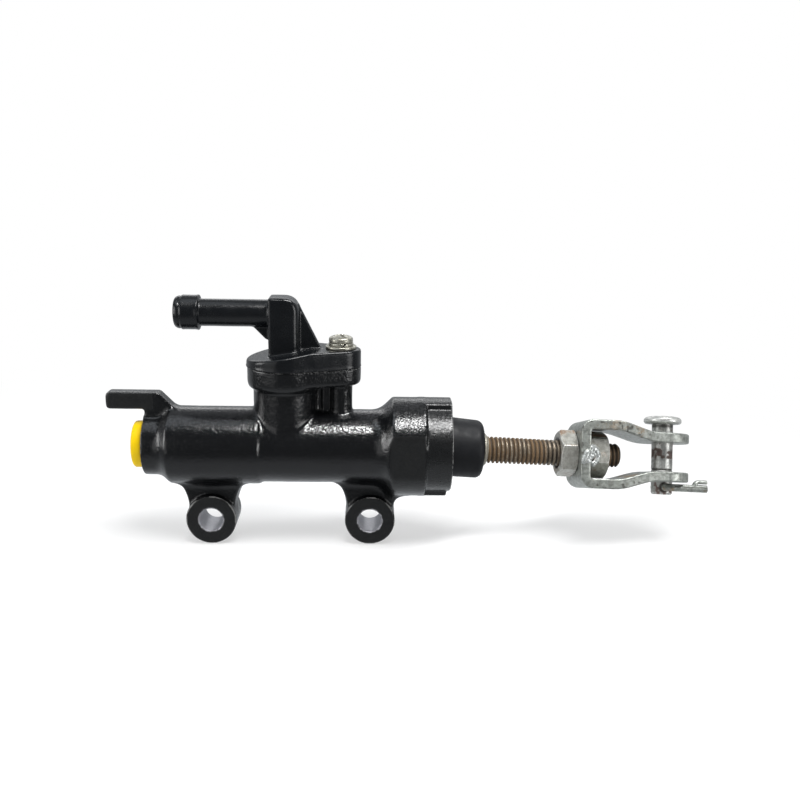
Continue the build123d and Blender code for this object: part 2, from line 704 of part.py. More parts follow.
def nut(start, thickness, turn):
    """A hexagon nut, chamfered at both ends, square to the rod at a distance from its ball."""
    corner_r = NUT_AF / 3**0.5
    corner_rise = (corner_r - NUT_CHAMFER_R) * CHAMFER_SLOPE
    with BuildPart() as blank:
        with BuildSketch(station(start)):
            RegularPolygon(NUT_AF / 2, 6, major_radius=False, rotation=turn)
            Circle(NUT_BORE_R, mode=Mode.SUBTRACT)
        extrude(amount=thickness)
        with BuildSketch(side_plane):
            with BuildLine():
                Polyline(
                    (start, 0),
                    (start, NUT_CHAMFER_R),
                    (start + corner_rise, corner_r),
                    (start + thickness - corner_rise, corner_r),
                    (start + thickness, NUT_CHAMFER_R),
                    (start + thickness, 0),
                    close=True,
                )
            make_face()
        revolve(axis=rod_axis, mode=Mode.INTERSECT)
    return blank.part


# ---------------------------------------------------------------- nuts
with BuildPart() as lock_nut:
    add(nut(PLATE - LOCK_NUT_T, LOCK_NUT_T, LOCK_NUT_TURN))
save(lock_nut.part, "lock_nut")

with BuildPart() as clevis_nut:
    add(nut(PLATE + STRIP_T, CLEVIS_NUT_T, CLEVIS_NUT_TURN))
save(clevis_nut.part, "clevis_nut")

# ---------------------------------------------------------------- clevis
with BuildPart() as clevis:
    # Strip bent to a U whose arms step in towards the pin
    with BuildSketch(side_plane):
        with BuildLine():
            arm_mid, eye_mid = ARM_HEIGHT - STRIP_T / 2, EYE_HEIGHT - STRIP_T / 2
            plate_mid = PLATE + STRIP_T / 2
            eye_end = PIN_AT + EYE_R + STRIP_T
            FilletPolyline(
                (eye_end, eye_mid),
                (EYE_STRAIGHT, eye_mid),
                (ARM_LENGTH_WIDE, arm_mid),
                (plate_mid, arm_mid),
                (plate_mid, -arm_mid),
                (ARM_LENGTH_WIDE, -arm_mid),
                (EYE_STRAIGHT, -eye_mid),
                (eye_end, -eye_mid),
                radius=[JOGGLE_R, JOGGLE_R, BEND_R, BEND_R, JOGGLE_R, JOGGLE_R],
            )
        trace(line_width=STRIP_T)
    extrude(amount=BASE_HALF_W, both=True)
    # Plan outline, tapering to the round eyes
    with BuildSketch(plan_plane):
        with Locations(((PLATE + ARM_LENGTH_WIDE) / 2, 0)):
            Rectangle(ARM_LENGTH_WIDE - PLATE, 2 * BASE_HALF_W)
        with Locations((PIN_AT, 0)):
            Circle(EYE_R)
        make_hull()
    extrude(amount=ARM_HEIGHT, both=True, mode=Mode.INTERSECT)
    with BuildSketch(plan_plane):
        with Locations((PIN_AT, 0)):
            Circle(PIN_HOLE_R)
    extrude(amount=ARM_HEIGHT, both=True, mode=Mode.SUBTRACT)
    with BuildSketch(station(PLATE)):
        Circle(PLATE_HOLE_R)
    extrude(amount=STRIP_T, mode=Mode.SUBTRACT)
save(clevis.part, "clevis")

# ---------------------------------------------------------------- clevis pin
with BuildPart() as clevis_pin:
    with BuildSketch(plan_plane.offset(PIN_LOW)):
        with Locations((PIN_AT, 0)):
            Circle(PIN_R)
    extrude(amount=PIN_HEAD_LOW - PIN_LOW)
    chamfer(clevis_pin.edges().group_by(pin_axis)[0], PIN_END_CHAMFER)
    with BuildSketch(plan_plane.offset(PIN_HEAD_LOW)):
        with Locations((PIN_AT, 0)):
            Circle(PIN_HEAD_R)
    extrude(amount=PIN_HEAD_TOP - PIN_HEAD_LOW)
    fillet(clevis_pin.edges().group_by(pin_axis)[-1], EDGE_R)
    with BuildSketch(side_plane):
        with Locations((PIN_AT, COTTER_H)):
            Circle(COTTER_HOLE_R)
    extrude(amount=PIN_R, both=True, mode=Mode.SUBTRACT)
save(clevis_pin.part, "clevis_pin")

# ---------------------------------------------------------------- cotter pin
cotter_plane = plan_plane.offset(COTTER_H)
with BuildPart() as cotter_pin:
    # Long leg: through the pin, round its front and out along the rod's line
    with BuildLine(cotter_plane) as long_leg:
        FilletPolyline(
            (PIN_AT, COTTER_EYE_AT - COTTER_EYE_R),
            (PIN_AT, -COTTER_FRONT),
            (COTTER_LEG_END, -COTTER_FRONT),
            radius=COTTER_BEND_R,
        )
    with BuildSketch(Plane(origin=long_leg.line @ 0, z_dir=long_leg.line % 0)):
        Circle(COTTER_R)
    sweep()
    # Short leg beside it, its end bent up past the eye of the clevis
    leg_origin = cotter_plane.origin - rod_back * COTTER_FRONT
    with BuildLine(Plane(origin=leg_origin, x_dir=rod_dir, z_dir=-rod_back)) as short_leg:
        FilletPolyline(
            (PIN_AT + COTTER_BEND_R, 0),
            (COTTER_RAISE_AT, 0),
            (COTTER_RAISE_AT + COTTER_RAISE_RUN, COTTER_SHORT_RAISE),
            (COTTER_LEG_END, COTTER_SHORT_RAISE),
            radius=COTTER_R,
        )
    with BuildSketch(Plane(origin=short_leg.line @ 0, z_dir=short_leg.line % 0)):
        Circle(COTTER_LEG_R)
    sweep()
    # Eye behind the pin
    with BuildSketch(Plane(origin=eye_centre + rod_dir * COTTER_EYE_R, x_dir=rod_dir, z_dir=rod_back)):
        Circle(COTTER_LEG_R)
    revolve(axis=Axis(eye_centre, rod_up))
save(cotter_pin.part, "cotter_pin")
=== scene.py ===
import json
import math

import bmesh
import bpy
import numpy as np
from mathutils import Matrix, Vector

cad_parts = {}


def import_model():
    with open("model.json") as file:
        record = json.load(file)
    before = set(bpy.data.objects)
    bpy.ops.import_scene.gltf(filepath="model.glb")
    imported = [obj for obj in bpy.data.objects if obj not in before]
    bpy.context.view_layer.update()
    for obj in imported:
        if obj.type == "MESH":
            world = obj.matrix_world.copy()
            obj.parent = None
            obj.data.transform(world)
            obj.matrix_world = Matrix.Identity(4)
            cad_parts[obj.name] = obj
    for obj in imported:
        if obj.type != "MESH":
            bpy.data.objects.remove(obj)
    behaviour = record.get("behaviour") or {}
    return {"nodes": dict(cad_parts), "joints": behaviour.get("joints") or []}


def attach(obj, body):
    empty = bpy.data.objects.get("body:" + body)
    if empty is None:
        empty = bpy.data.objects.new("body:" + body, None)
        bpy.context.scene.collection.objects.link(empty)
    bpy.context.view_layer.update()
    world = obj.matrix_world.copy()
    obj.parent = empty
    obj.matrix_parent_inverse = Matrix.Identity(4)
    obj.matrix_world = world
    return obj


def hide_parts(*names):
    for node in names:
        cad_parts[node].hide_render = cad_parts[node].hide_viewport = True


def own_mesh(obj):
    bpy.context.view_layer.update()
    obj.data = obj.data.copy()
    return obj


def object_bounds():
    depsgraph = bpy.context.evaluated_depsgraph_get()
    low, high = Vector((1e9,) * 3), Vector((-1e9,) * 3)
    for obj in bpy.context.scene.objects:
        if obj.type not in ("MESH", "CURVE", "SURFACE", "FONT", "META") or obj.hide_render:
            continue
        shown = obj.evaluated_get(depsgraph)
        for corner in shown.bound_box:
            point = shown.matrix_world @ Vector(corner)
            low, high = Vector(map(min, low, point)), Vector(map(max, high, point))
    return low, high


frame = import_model()
cad_box = [list(corner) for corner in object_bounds()]

# Lengths below are millimetres unless a name says otherwise; make_mesh turns them into metres.
MM = 0.001
joint = {j["name"]: j for j in frame["joints"]}
AXIS_Z = 20.7
EARS = (-22.5, 22.5)
INLET_X, SCREW_X = -1.6, 13.9
FLANGE_TOP = 43.9
MOUTH_X = 45.2
HOSE_Z = 58.5
PIN_AT = 73.9
COTTER_AT = -8.6
FLOOR_Z = -7.3

# The push rod's own directions: along it, crosswise to the back, and up the clevis pin
BALL = np.array(joint["rod_swing"]["pos_m"]) / MM
ROD = np.array(joint["clevis_turn"]["axis"])
UP = np.array(joint["rod_swing"]["axis"])
BACK = np.cross(UP, ROD)


def on_rod(points):
    """Points given as (along the rod, to the back, up the pin) in the row frame."""
    p = np.asarray(points, float)
    return BALL + p[:, :1] * ROD + p[:, 1:2] * BACK + p[:, 2:3] * UP


def unit(value):
    return np.clip(value, 0, 1)


# ---- distance fields
def smin(a, b, k):
    """Smooth union of two fields, with a fillet about k across."""
    h = unit(0.5 + 0.5 * (b - a) / k)
    return b + (a - b) * h - k * h * (1 - h)


def smax(a, b, k):
    """Smooth intersection, with a rounding about k across."""
    return -smin(-a, -b, k)


def polygon(u, v, points):
    """Signed distance to a closed polygon, negative inside."""
    points = np.asarray(points, float)
    best = np.full(np.broadcast(u, v).shape, 1e9)
    inside = np.zeros(best.shape, bool)
    for (au, av), (bu, bv) in zip(points, np.roll(points, -1, 0)):
        eu, ev = bu - au, bv - av
        length2 = eu * eu + ev * ev
        if length2 < 1e-12:
            continue
        t = unit(((u - au) * eu + (v - av) * ev) / length2)
        best = np.minimum(best, (u - au - eu * t) ** 2 + (v - av - ev * t) ** 2)
        if ev != 0:
            inside ^= ((av > v) != (bv > v)) & (u < au + (v - av) * eu / ev)
    return np.where(inside, -1, 1) * np.sqrt(best)


def polyline(u, v, points):
    """Distance to an open line of points."""
    best = np.full(np.broadcast(u, v).shape, 1e9)
    for (au, av), (bu, bv) in zip(points[:-1], points[1:]):
        eu, ev = bu - au, bv - av
        t = unit(((u - au) * eu + (v - av) * ev) / (eu * eu + ev * ev))
        best = np.minimum(best, (u - au - eu * t) ** 2 + (v - av - ev * t) ** 2)
    return np.sqrt(best)


def filleted(points, radii, closed=False):
    """The points with each corner turned into an arc; radii has one entry per point, 0 for sharp."""
    points = [np.array(p, float) for p in points]
    out = []
    n = len(points)
    for i, p in enumerate(points):
        if radii[i] == 0 or (not closed and i in (0, n - 1)):
            out.append(p)
            continue
        a, b = points[i - 1] - p, points[(i + 1) % n] - p
        la, lb = np.linalg.norm(a), np.linalg.norm(b)
        a, b = a / la, b / lb
        half = math.acos(max(-1, min(1, float(a @ b)))) / 2
        cut = min(radii[i] / math.tan(half), la * 0.49, lb * 0.49)
        radius = cut * math.tan(half)
        centre = p + (a + b) / np.linalg.norm(a + b) * (radius / math.sin(half))
        start, end = p + a * cut - centre, p + b * cut - centre
        swing = math.pi - 2 * half
        steps = max(3, int(swing / 0.2) + 1)
        turn = math.copysign(1, start[0] * end[1] - start[1] * end[0])
        for k in range(steps + 1):
            t = turn * swing * k / steps
            c, s = math.cos(t), math.sin(t)
            out.append(centre + np.array([c * start[0] - s * start[1], s * start[0] + c * start[1]]))
    return out


def turned(u, r, points):
    """Field of a solid turned about the line r = 0: points are (along, radius) of its outline."""
    mirrored = list(points) + [(a, -b) for a, b in reversed(points)]
    radii = np.arange(0, float(r.max()) + 0.3, 0.1)
    table = polygon(u.reshape(-1, 1), radii.reshape(1, -1), mirrored).astype(np.float32)
    low = np.floor(r / 0.1).astype(int)
    part = (r / 0.1 - low).astype(np.float32)
    return table[:, low] * (1 - part) + table[:, low + 1] * part


def surface(field, origin, step):
    """Quads round a sampled field's zero surface: one vertex per cell, at its mean edge crossing."""
    inside = field < 0
    shape = [n - 1 for n in field.shape]
    full = np.zeros(shape, np.int8)
    corners = [(i, j, k) for i in (0, 1) for j in (0, 1) for k in (0, 1)]
    for i, j, k in corners:
        full += inside[i:shape[0] + i, j:shape[1] + j, k:shape[2] + k]
    cells = np.argwhere((full > 0) & (full < 8))
    number = np.full(shape, -1, np.int64)
    number[tuple(cells.T)] = np.arange(len(cells))
    value = {c: field[tuple((cells + c).T)].astype(float) for c in corners}
    total, hits = np.zeros((len(cells), 3)), np.zeros(len(cells))
    for axis in range(3):
        for c in corners:
            if c[axis]:
                continue
            far = tuple(1 if a == axis else c[a] for a in range(3))
            crossed = (value[c] < 0) != (value[far] < 0)
            gap = np.where(crossed, value[c] - value[far], 1)
            point = np.tile(np.array(c, float), (len(cells), 1))
            point[:, axis] = value[c] / gap
            total += np.where(crossed[:, None], point, 0)
            hits += crossed
    verts = np.array(origin) + (cells + total / hits[:, None]) * step
    quads = []
    for axis in range(3):
        u, v = (axis + 1) % 3, (axis + 2) % 3
        near = [slice(None)] * 3
        far = [slice(None)] * 3
        near[axis], far[axis] = slice(0, -1), slice(1, None)
        a, b = inside[tuple(near)], inside[tuple(far)]
        spots = np.argwhere(a != b)
        spots = spots[(spots[:, u] > 0) & (spots[:, v] > 0)]
        outward = inside[tuple(spots.T)]
        eu, ev = np.eye(3, dtype=int)[u], np.eye(3, dtype=int)[v]
        ring = [number[tuple((spots - o).T)] for o in (eu + ev, ev, 0 * eu, eu)]
        ring = np.stack(ring, 1)
        quads.append(np.where(outward[:, None], ring, ring[:, ::-1]))
    return verts, np.concatenate(quads)


class Shape:
    """The quad mesh of a field, with helpers that need its neighbours and normals."""

    def __init__(self, field, origin, step):
        self.v, self.q = surface(field, origin, step)
        pairs = np.concatenate([self.q[:, [a, (a + 1) % 4]] for a in range(4)])
        pairs = pairs[pairs[:, 0] != pairs[:, 1]]
        self.a = np.concatenate([pairs[:, 0], pairs[:, 1]])
        self.b = np.concatenate([pairs[:, 1], pairs[:, 0]])
        self.count = np.maximum(np.bincount(self.a, minlength=len(self.v)), 1)

    def mean(self, values):
        """Each vertex's average over its neighbours."""
        if values.ndim == 1:
            return np.bincount(self.a, values[self.b], len(self.v)) / self.count
        return np.stack([self.mean(values[:, i]) for i in range(values.shape[1])], 1)

    def normals(self):
        p = self.v[self.q]
        face = np.cross(p[:, 2] - p[:, 0], p[:, 3] - p[:, 1])
        total = len(self.v)
        out = [sum(np.bincount(self.q[:, k], face[:, i], total) for k in range(4)) for i in range(3)]
        out = np.stack(out, 1)
        return out / np.maximum(np.linalg.norm(out, axis=1), 1e-12)[:, None]

    def smooth(self, times, weight):
        """Evens the surface out; weight may differ from vertex to vertex."""
        w = np.broadcast_to(weight, len(self.v))[:, None]
        for _ in range(times):
            self.v = self.v + w * (self.mean(self.v) - self.v)

    def edge(self, scale):
        """How convex the surface is, 0 on flats to 1 on sharp edges."""
        bend = -np.einsum("ij,ij->i", self.mean(self.v) - self.v, self.normals())
        bend = 0.5 * (bend + self.mean(bend))
        return np.clip(bend / scale, -1, 1)

    def push(self, amount):
        """Moves each vertex along its normal."""
        self.v = self.v + self.normals() * np.asarray(amount)[:, None]


def noise(points, size, seed):
    """Smooth noise from -1 to 1, with features about size across."""
    table = np.random.default_rng(seed).uniform(-1, 1, (32, 32, 32))
    q = np.asarray(points) / size + 1000
    i = np.floor(q).astype(int)
    f = q - i
    f = f * f * (3 - 2 * f)
    shares = [1 - f, f]
    out = np.zeros(len(q))
    for a in (0, 1):
        for b in (0, 1):
            for c in (0, 1):
                share = shares[a][:, 0] * shares[b][:, 1] * shares[c][:, 2]
                out += share * table[(i[:, 0] + a) % 32, (i[:, 1] + b) % 32, (i[:, 2] + c) % 32]
    return out


# ---- meshes
def make_mesh(name, verts, faces, material, body, attributes, replaces, merge=False):
    """A piece of the object from vertices in millimetres, riding on a body."""
    mesh = bpy.data.meshes.new(name)
    inside = np.clip(np.asarray(verts) * MM, *cad_box)
    mesh.from_pydata(inside.tolist(), [], [tuple(int(i) for i in f) for f in faces])
    for key, values in attributes.items():
        mesh.attributes.new(key, "FLOAT", "POINT").data.foreach_set("value", np.asarray(values, np.float32))
    if merge:
        bm = bmesh.new()
        bm.from_mesh(mesh)
        bmesh.ops.remove_doubles(bm, verts=bm.verts, dist=2e-6)
        bmesh.ops.dissolve_degenerate(bm, edges=bm.edges, dist=1e-7)
        bmesh.ops.recalc_face_normals(bm, faces=bm.faces)
        bm.to_mesh(mesh)
        bm.free()
    mesh.shade_smooth()
    mesh.validate()
    piece = bpy.data.objects.new(name, mesh)
    bpy.context.scene.collection.objects.link(piece)
    mesh.materials.append(material)
    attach(piece, body)
    if replaces:
        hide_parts(*replaces)
    return piece


def grid_faces(rows, columns):
    """Quads of a grid of vertices, closed across its columns."""
    i, j = np.meshgrid(np.arange(rows - 1), np.arange(columns), indexing="ij")
    a, b = i * columns + j, i * columns + (j + 1) % columns
    return np.stack([a, b, b + columns, a + columns], -1).reshape(-1, 4)


def densify(points, most):
    """Adds points so that no step is longer than most."""
    out = [np.array(points[0], float)]
    for p, q in zip(points[:-1], points[1:]):
        p, q = np.array(p, float), np.array(q, float)
        n = max(1, int(np.ceil(np.linalg.norm(q - p) / most)))
        out += [p + (q - p) * k / n for k in range(1, n + 1)]
    return np.array(out)


def lathe(profile, segments, ripple=None):
    """Vertices (along, crosswise, up) and quads of a profile of (along, radius) turned about its line."""
    profile = np.asarray(profile, float)
    angle = np.arange(segments) * 2 * math.pi / segments
    s, t = np.meshgrid(profile[:, 0], angle, indexing="ij")
    r = np.repeat(profile[:, 1:2], segments, 1)
    if ripple is not None:
        r = ripple(s, r, t)
    verts = np.stack([s, r * np.cos(t), r * np.sin(t)], -1).reshape(-1, 3)
    return verts, grid_faces(len(profile), segments)


def swept(path, section, side):
    """A section of (across, up) swept along a path, its up kept near side."""
    path, section = np.asarray(path, float), np.asarray(section, float)
    ahead = np.gradient(path, axis=0)
    ahead /= np.linalg.norm(ahead, axis=1)[:, None]
    across = np.cross(ahead, np.broadcast_to(side, path.shape))
    across /= np.linalg.norm(across, axis=1)[:, None]
    up = np.cross(across, ahead)
    verts = path[:, None] + across[:, None] * section[None, :, :1] + up[:, None] * section[None, :, 1:]
    rows, columns = len(path), len(section)
    verts = verts.reshape(-1, 3)
    faces = [tuple(f) for f in grid_faces(rows, columns)]
    faces += [tuple(range(columns - 1, -1, -1)), tuple(range((rows - 1) * columns, rows * columns))]
    return verts, faces


# ---- materials
class Look:
    """One material, with short calls for its nodes. Sizes are millimetres."""

    def __init__(self, name):
        self.mat = bpy.data.materials.new(name)
        self.mat.use_nodes = True
        self.nodes, self.links = self.mat.node_tree.nodes, self.mat.node_tree.links
        self.nodes.clear()
        self.bsdf = self.new("ShaderNodeBsdfPrincipled")
        self.links.new(self.bsdf.outputs[0], self.new("ShaderNodeOutputMaterial").inputs[0])
        self.place = self.new("ShaderNodeTexCoord").outputs["Object"]

    def new(self, kind):
        return self.nodes.new(kind)

    def put(self, socket, value):
        if isinstance(value, bpy.types.NodeSocket):
            self.links.new(value, socket)
        elif hasattr(value, "__len__") and len(value) == 3 and len(socket.default_value) == 4:
            socket.default_value = (*value, 1)
        else:
            socket.default_value = value

    def set(self, **values):
        for key, value in values.items():
            self.put(self.bsdf.inputs[key.replace("_", " ")], value)

    def noise(self, size, detail=2.0, rough=0.5, shift=0.0):
        where = self.place
        if shift:
            node = self.new("ShaderNodeMapping")
            node.inputs["Location"].default_value = (shift, shift, shift)
            self.links.new(where, node.inputs["Vector"])
            where = node.outputs[0]
        node = self.new("ShaderNodeTexNoise")
        node.inputs["Scale"].default_value = 1000 / size
        node.inputs["Detail"].default_value = detail
        node.inputs["Roughness"].default_value = rough
        self.links.new(where, node.inputs["Vector"])
        return node.outputs[0]

    def span(self, value, low, high, to_low=0.0, to_high=1.0):
        node = self.new("ShaderNodeMapRange")
        node.interpolation_type = "SMOOTHSTEP"
        for i, v in enumerate((value, low, high, to_low, to_high)):
            self.put(node.inputs[i], v)
        return node.outputs[0]

    def mix(self, share, a, b):
        node = self.new("ShaderNodeMix")
        node.data_type = "RGBA"
        self.put(node.inputs[0], share)
        self.put(node.inputs[6], a)
        self.put(node.inputs[7], b)
        return node.outputs[2]

    def calc(self, what, a, b, clamp=False):
        node = self.new("ShaderNodeMath")
        node.operation = what
        node.use_clamp = clamp
        self.put(node.inputs[0], a)
        self.put(node.inputs[1], b)
        return node.outputs[0]

    def times(self, a, b):
        return self.calc("MULTIPLY", a, b)

    def plus(self, a, b, clamp=False):
        return self.calc("ADD", a, b, clamp)

    def attr(self, name):
        node = self.new("ShaderNodeAttribute")
        node.attribute_name = name
        return node.outputs["Fac"]

    def bump(self, *layers):
        """Adds relief: each layer is (height, depth in millimetres)."""
        normal = None
        for height, depth in layers:
            node = self.new("ShaderNodeBump")
            node.inputs["Distance"].default_value = depth * MM
            self.put(node.inputs["Height"], height)
            if normal is not None:
                self.links.new(normal, node.inputs["Normal"])
            normal = node.outputs[0]
        self.links.new(normal, self.bsdf.inputs["Normal"])


def cast_paint():
    look = Look("black_cast_paint")
    ground, bare, edge = look.attr("ground"), look.attr("bare"), look.attr("edge")
    peel, grit, cloud = look.noise(0.75, 2, 0.6), look.noise(0.3, 1), look.noise(7, 3)
    paint = look.mix(cloud, (0.0028, 0.0031, 0.0036), (0.005, 0.0054, 0.006))
    flat = look.mix(look.noise(0.6, 4, 0.7), (0.0035, 0.0038, 0.004), (0.0085, 0.009, 0.0092))
    colour = look.mix(ground, paint, flat)
    # Edges lightened to pale grey: partly chipped, rubbed paint, partly a painted highlight along the edges
    # and rims.
    scuff_and_highlight = look.span(look.plus(edge, look.times(look.noise(1.3, 3, 0.6), 0.9)), 0.9, 1.15)
    colour = look.mix(look.times(scuff_and_highlight, 0.7), colour, (0.2, 0.2, 0.195))
    metal = look.mix(look.noise(0.8, 3), (0.30, 0.30, 0.33), (0.5, 0.5, 0.53))
    colour = look.mix(bare, colour, metal)
    rough = look.span(look.noise(1.6, 3), 0.3, 0.7, 0.13, 0.2)
    rough = look.plus(rough, look.times(ground, 0.2))
    rough = look.plus(rough, look.times(bare, 0.2))
    rough = look.plus(rough, look.times(scuff_and_highlight, 0.15), clamp=True)
    glitter = look.span(look.noise(0.52, 2, 0.7, shift=0.02), 0.4, 0.6, 0.14, 0.95)
    plain = 0.42
    grain = look.times(look.attr("grain"), look.calc("SUBTRACT", glitter, plain))
    look.set(Base_Color=colour, Roughness=rough, Metallic=look.times(bare, 0.6), IOR=1.6,
             Specular_IOR_Level=look.plus(plain, grain))
    look.bump((peel, 0.08), (grit, 0.03))
    return look.mat


def moulded_black():
    look = Look("black_plastic")
    edge = look.attr("edge")
    cloud = look.noise(6, 3)
    colour = look.mix(cloud, (0.0028, 0.0033, 0.0042), (0.005, 0.0058, 0.0068))
    # Edges lightened: partly rubbed plastic, partly a painted highlight along the edges.
    scuff_and_highlight = look.span(look.plus(edge, look.times(look.noise(0.9, 3, 0.6), 0.8)), 1.02, 1.3)
    colour = look.mix(look.times(scuff_and_highlight, 0.5), colour, (0.09, 0.095, 0.1))
    rough = look.span(look.noise(3, 3), 0.3, 0.7, 0.2, 0.28)
    look.set(Base_Color=colour, Roughness=rough, IOR=1.5, Specular_IOR_Level=0.4)
    look.bump((look.noise(2.5, 2), 0.02), (look.noise(0.4, 2), 0.004))
    return look.mat


def yellow_cap():
    look = Look("yellow_plastic")
    skirt_shade = look.attr("skirt_shade")
    colour = look.mix(look.noise(3, 2), (0.72, 0.47, 0.0), (0.80, 0.55, 0.002))
    # Painted shade: the skirt end of the cap is coloured a darker, shaded yellow.
    colour = look.mix(skirt_shade, colour, (0.45, 0.24, 0.0))
    look.set(Base_Color=colour, Roughness=look.span(look.noise(1.5), 0.3, 0.7, 0.42, 0.56), IOR=1.4,
             Specular_IOR_Level=0.25)
    look.bump((look.noise(0.6, 2), 0.006))
    return look.mat


def boot_rubber():
    look = Look("boot_rubber")
    colour = look.mix(look.noise(5, 4, 0.6), (0.0035, 0.004, 0.005), (0.0075, 0.008, 0.0098))
    dust = look.span(look.noise(0.35, 3, 0.7), 0.64, 0.8)
    colour = look.mix(look.times(dust, 0.25), colour, (0.06, 0.06, 0.058))
    look.set(Base_Color=colour, Roughness=look.span(look.noise(2), 0.3, 0.7, 0.46, 0.6), IOR=1.4,
             Specular_IOR_Level=0.34)
    look.bump((look.noise(1.8, 3), 0.015), (look.noise(0.25, 2), 0.006))
    return look.mat


def plain_rubber():
    look = Look("black_rubber")
    colour = look.mix(look.noise(1.5, 3), (0.012, 0.012, 0.012), (0.028, 0.028, 0.028))
    look.set(Base_Color=colour, Roughness=look.span(look.noise(0.8), 0.3, 0.7, 0.5, 0.7))
    look.bump((look.noise(0.4, 2), 0.006))
    return look.mat


def metal(name, dark, light, rough, size, relief, rust=0.0, rust_colour=(0.115, 0.065, 0.034),
          shine=0.9, edge_wear_and_highlight=None):
    """Plated or bare steel: mottled tone, edges lightened for wear and as a painted highlight, rust in
    freckles and where the rust mask says, and darkening for dirt and painted shade.
    """
    look = Look(name)
    tone = look.noise(size, 4, 0.7)
    colour = look.mix(look.span(tone, 0.32, 0.68), dark, light)
    # Edges lightened: partly wear, partly a painted highlight; on the thread crests and nut corners it is a
    # painted highlight.
    edge = look.span(look.attr("edge"), 0.15, 0.8)
    bright = edge_wear_and_highlight or tuple(min(1, 1.25 * c + 0.08) for c in light)
    colour = look.mix(look.times(edge, 0.7), colour, bright)
    freckles = look.span(look.noise(0.4, 3, 0.7, shift=0.03), 0.64 - rust, 0.72 - rust)
    patch = look.span(look.plus(look.attr("rust"), look.times(look.noise(0.7, 4, 0.75), 0.8)), 0.72, 1.02)
    stain = look.calc("MAXIMUM", look.times(freckles, 0.65), look.times(patch, 0.9))
    pale_rust = tuple(1.9 * c for c in rust_colour)
    colour = look.mix(stain, colour, look.mix(look.noise(0.5, 3), rust_colour, pale_rust))
    # Darkened by the mask: dirt on the clevis and the pin's middle, painted shade in hollows and between
    # parts on the nuts, screw, pin and split pin.
    grime_and_shade = look.span(look.attr("grime_and_shade"), 0.1, 0.9)
    colour = look.mix(look.times(grime_and_shade, 0.85), colour, (0.035, 0.03, 0.025))
    low, high = rough
    gloss = look.span(look.noise(size * 0.8, 3, shift=0.05), 0.3, 0.7, low, high)
    gloss = look.plus(gloss, look.times(stain, 0.3), clamp=True)
    shade = look.calc("SUBTRACT", shine, look.times(stain, 0.6), clamp=True)
    look.set(Base_Color=colour, Roughness=gloss, Metallic=shade)
    look.bump((look.noise(0.9, 3), relief), (look.noise(0.22, 2), relief * 0.5))
    return look.mat


LOOKS = {
    "body": cast_paint(),
    "plastic": moulded_black(),
    "yellow": yellow_cap(),
    "boot": boot_rubber(),
    "rubber": plain_rubber(),
    "zinc": metal("zinc_plate", (0.24, 0.232, 0.19), (0.45, 0.44, 0.385), (0.24, 0.42), 0.9, 0.012,
                  shine=0.75),
    "alloy": metal("anodised_alloy", (0.46, 0.44, 0.36), (0.6, 0.58, 0.5), (0.3, 0.42), 2.0, 0.004),
    "spring": metal("spring_steel", (0.3, 0.3, 0.3), (0.5, 0.5, 0.5), (0.25, 0.4), 1.2, 0.004),
    "rod": metal("rusty_rod_steel", (0.115, 0.085, 0.056), (0.26, 0.22, 0.17), (0.38, 0.58), 0.9, 0.02,
                 rust=0.05, rust_colour=(0.085, 0.05, 0.021), shine=0.6, edge_wear_and_highlight=(0.34, 0.335, 0.29)),
    "nut": metal("zinc_nut", (0.30, 0.295, 0.262), (0.475, 0.475, 0.44), (0.28, 0.44), 1.1, 0.01,
                 shine=0.6, edge_wear_and_highlight=(0.8, 0.8, 0.77)),
    "clevis": metal("galvanised_steel", (0.20, 0.21, 0.193), (0.38, 0.40, 0.372), (0.28, 0.46), 1.2,
                    0.018, rust=0.015, shine=0.62, rust_colour=(0.13, 0.08, 0.037)),
    "pin": metal("worn_pin_steel", (0.34, 0.345, 0.33), (0.58, 0.585, 0.565), (0.28, 0.44), 0.9, 0.005,
                 rust_colour=(0.075, 0.042, 0.034), shine=0.62),
    "weld": metal("weld_metal", (0.30, 0.32, 0.31), (0.6, 0.62, 0.61), (0.22, 0.4), 0.8, 0.014,
                  rust=-0.05, shine=0.6),
}


# ---- cylinder casting
def axes(low, high, step):
    """Sample points along X, Y and Z, shaped so that they broadcast into a block."""
    lines = [np.arange(a, b + step, step, dtype=np.float32) for a, b in zip(low, high)]
    return [lines[0][:, None, None], lines[1][None, :, None], lines[2][None, None, :]]


def teardrop(x, y, xa, ra, xb, rb):
    """Field of the outline round two circles on the X axis."""
    h = xb - xa
    lean = (ra - rb) / h
    a = math.sqrt(1 - lean * lean)
    px, py = np.abs(y), x - xa
    k = -lean * px + a * py
    near, far = np.hypot(px, py) - ra, np.hypot(px, py - h) - rb
    return np.where(k < 0, near, np.where(k > a * h, far, a * px + lean * py - ra))


def web_outline(x, left, right):
    """Outline of an ear's web: both sides sweep out to their own point on the barrel."""
    half, foot = 6.9, 2.4
    outline = []
    for way, (reach, top) in ((1, right), (-1, left)):
        rise, out = top - foot, reach - half
        radius = (rise * rise + out * out) / (2 * out)
        last = math.atan2(rise, radius - out)
        side = [(x + way * (half + radius * (1 - math.cos(a))), foot + radius * math.sin(a))
                for a in np.linspace(0, last, 12)]
        side = [(x + way * half, 0)] + side + [(side[-1][0], AXIS_Z)]
        outline += side if way > 0 else side[::-1]
    return outline


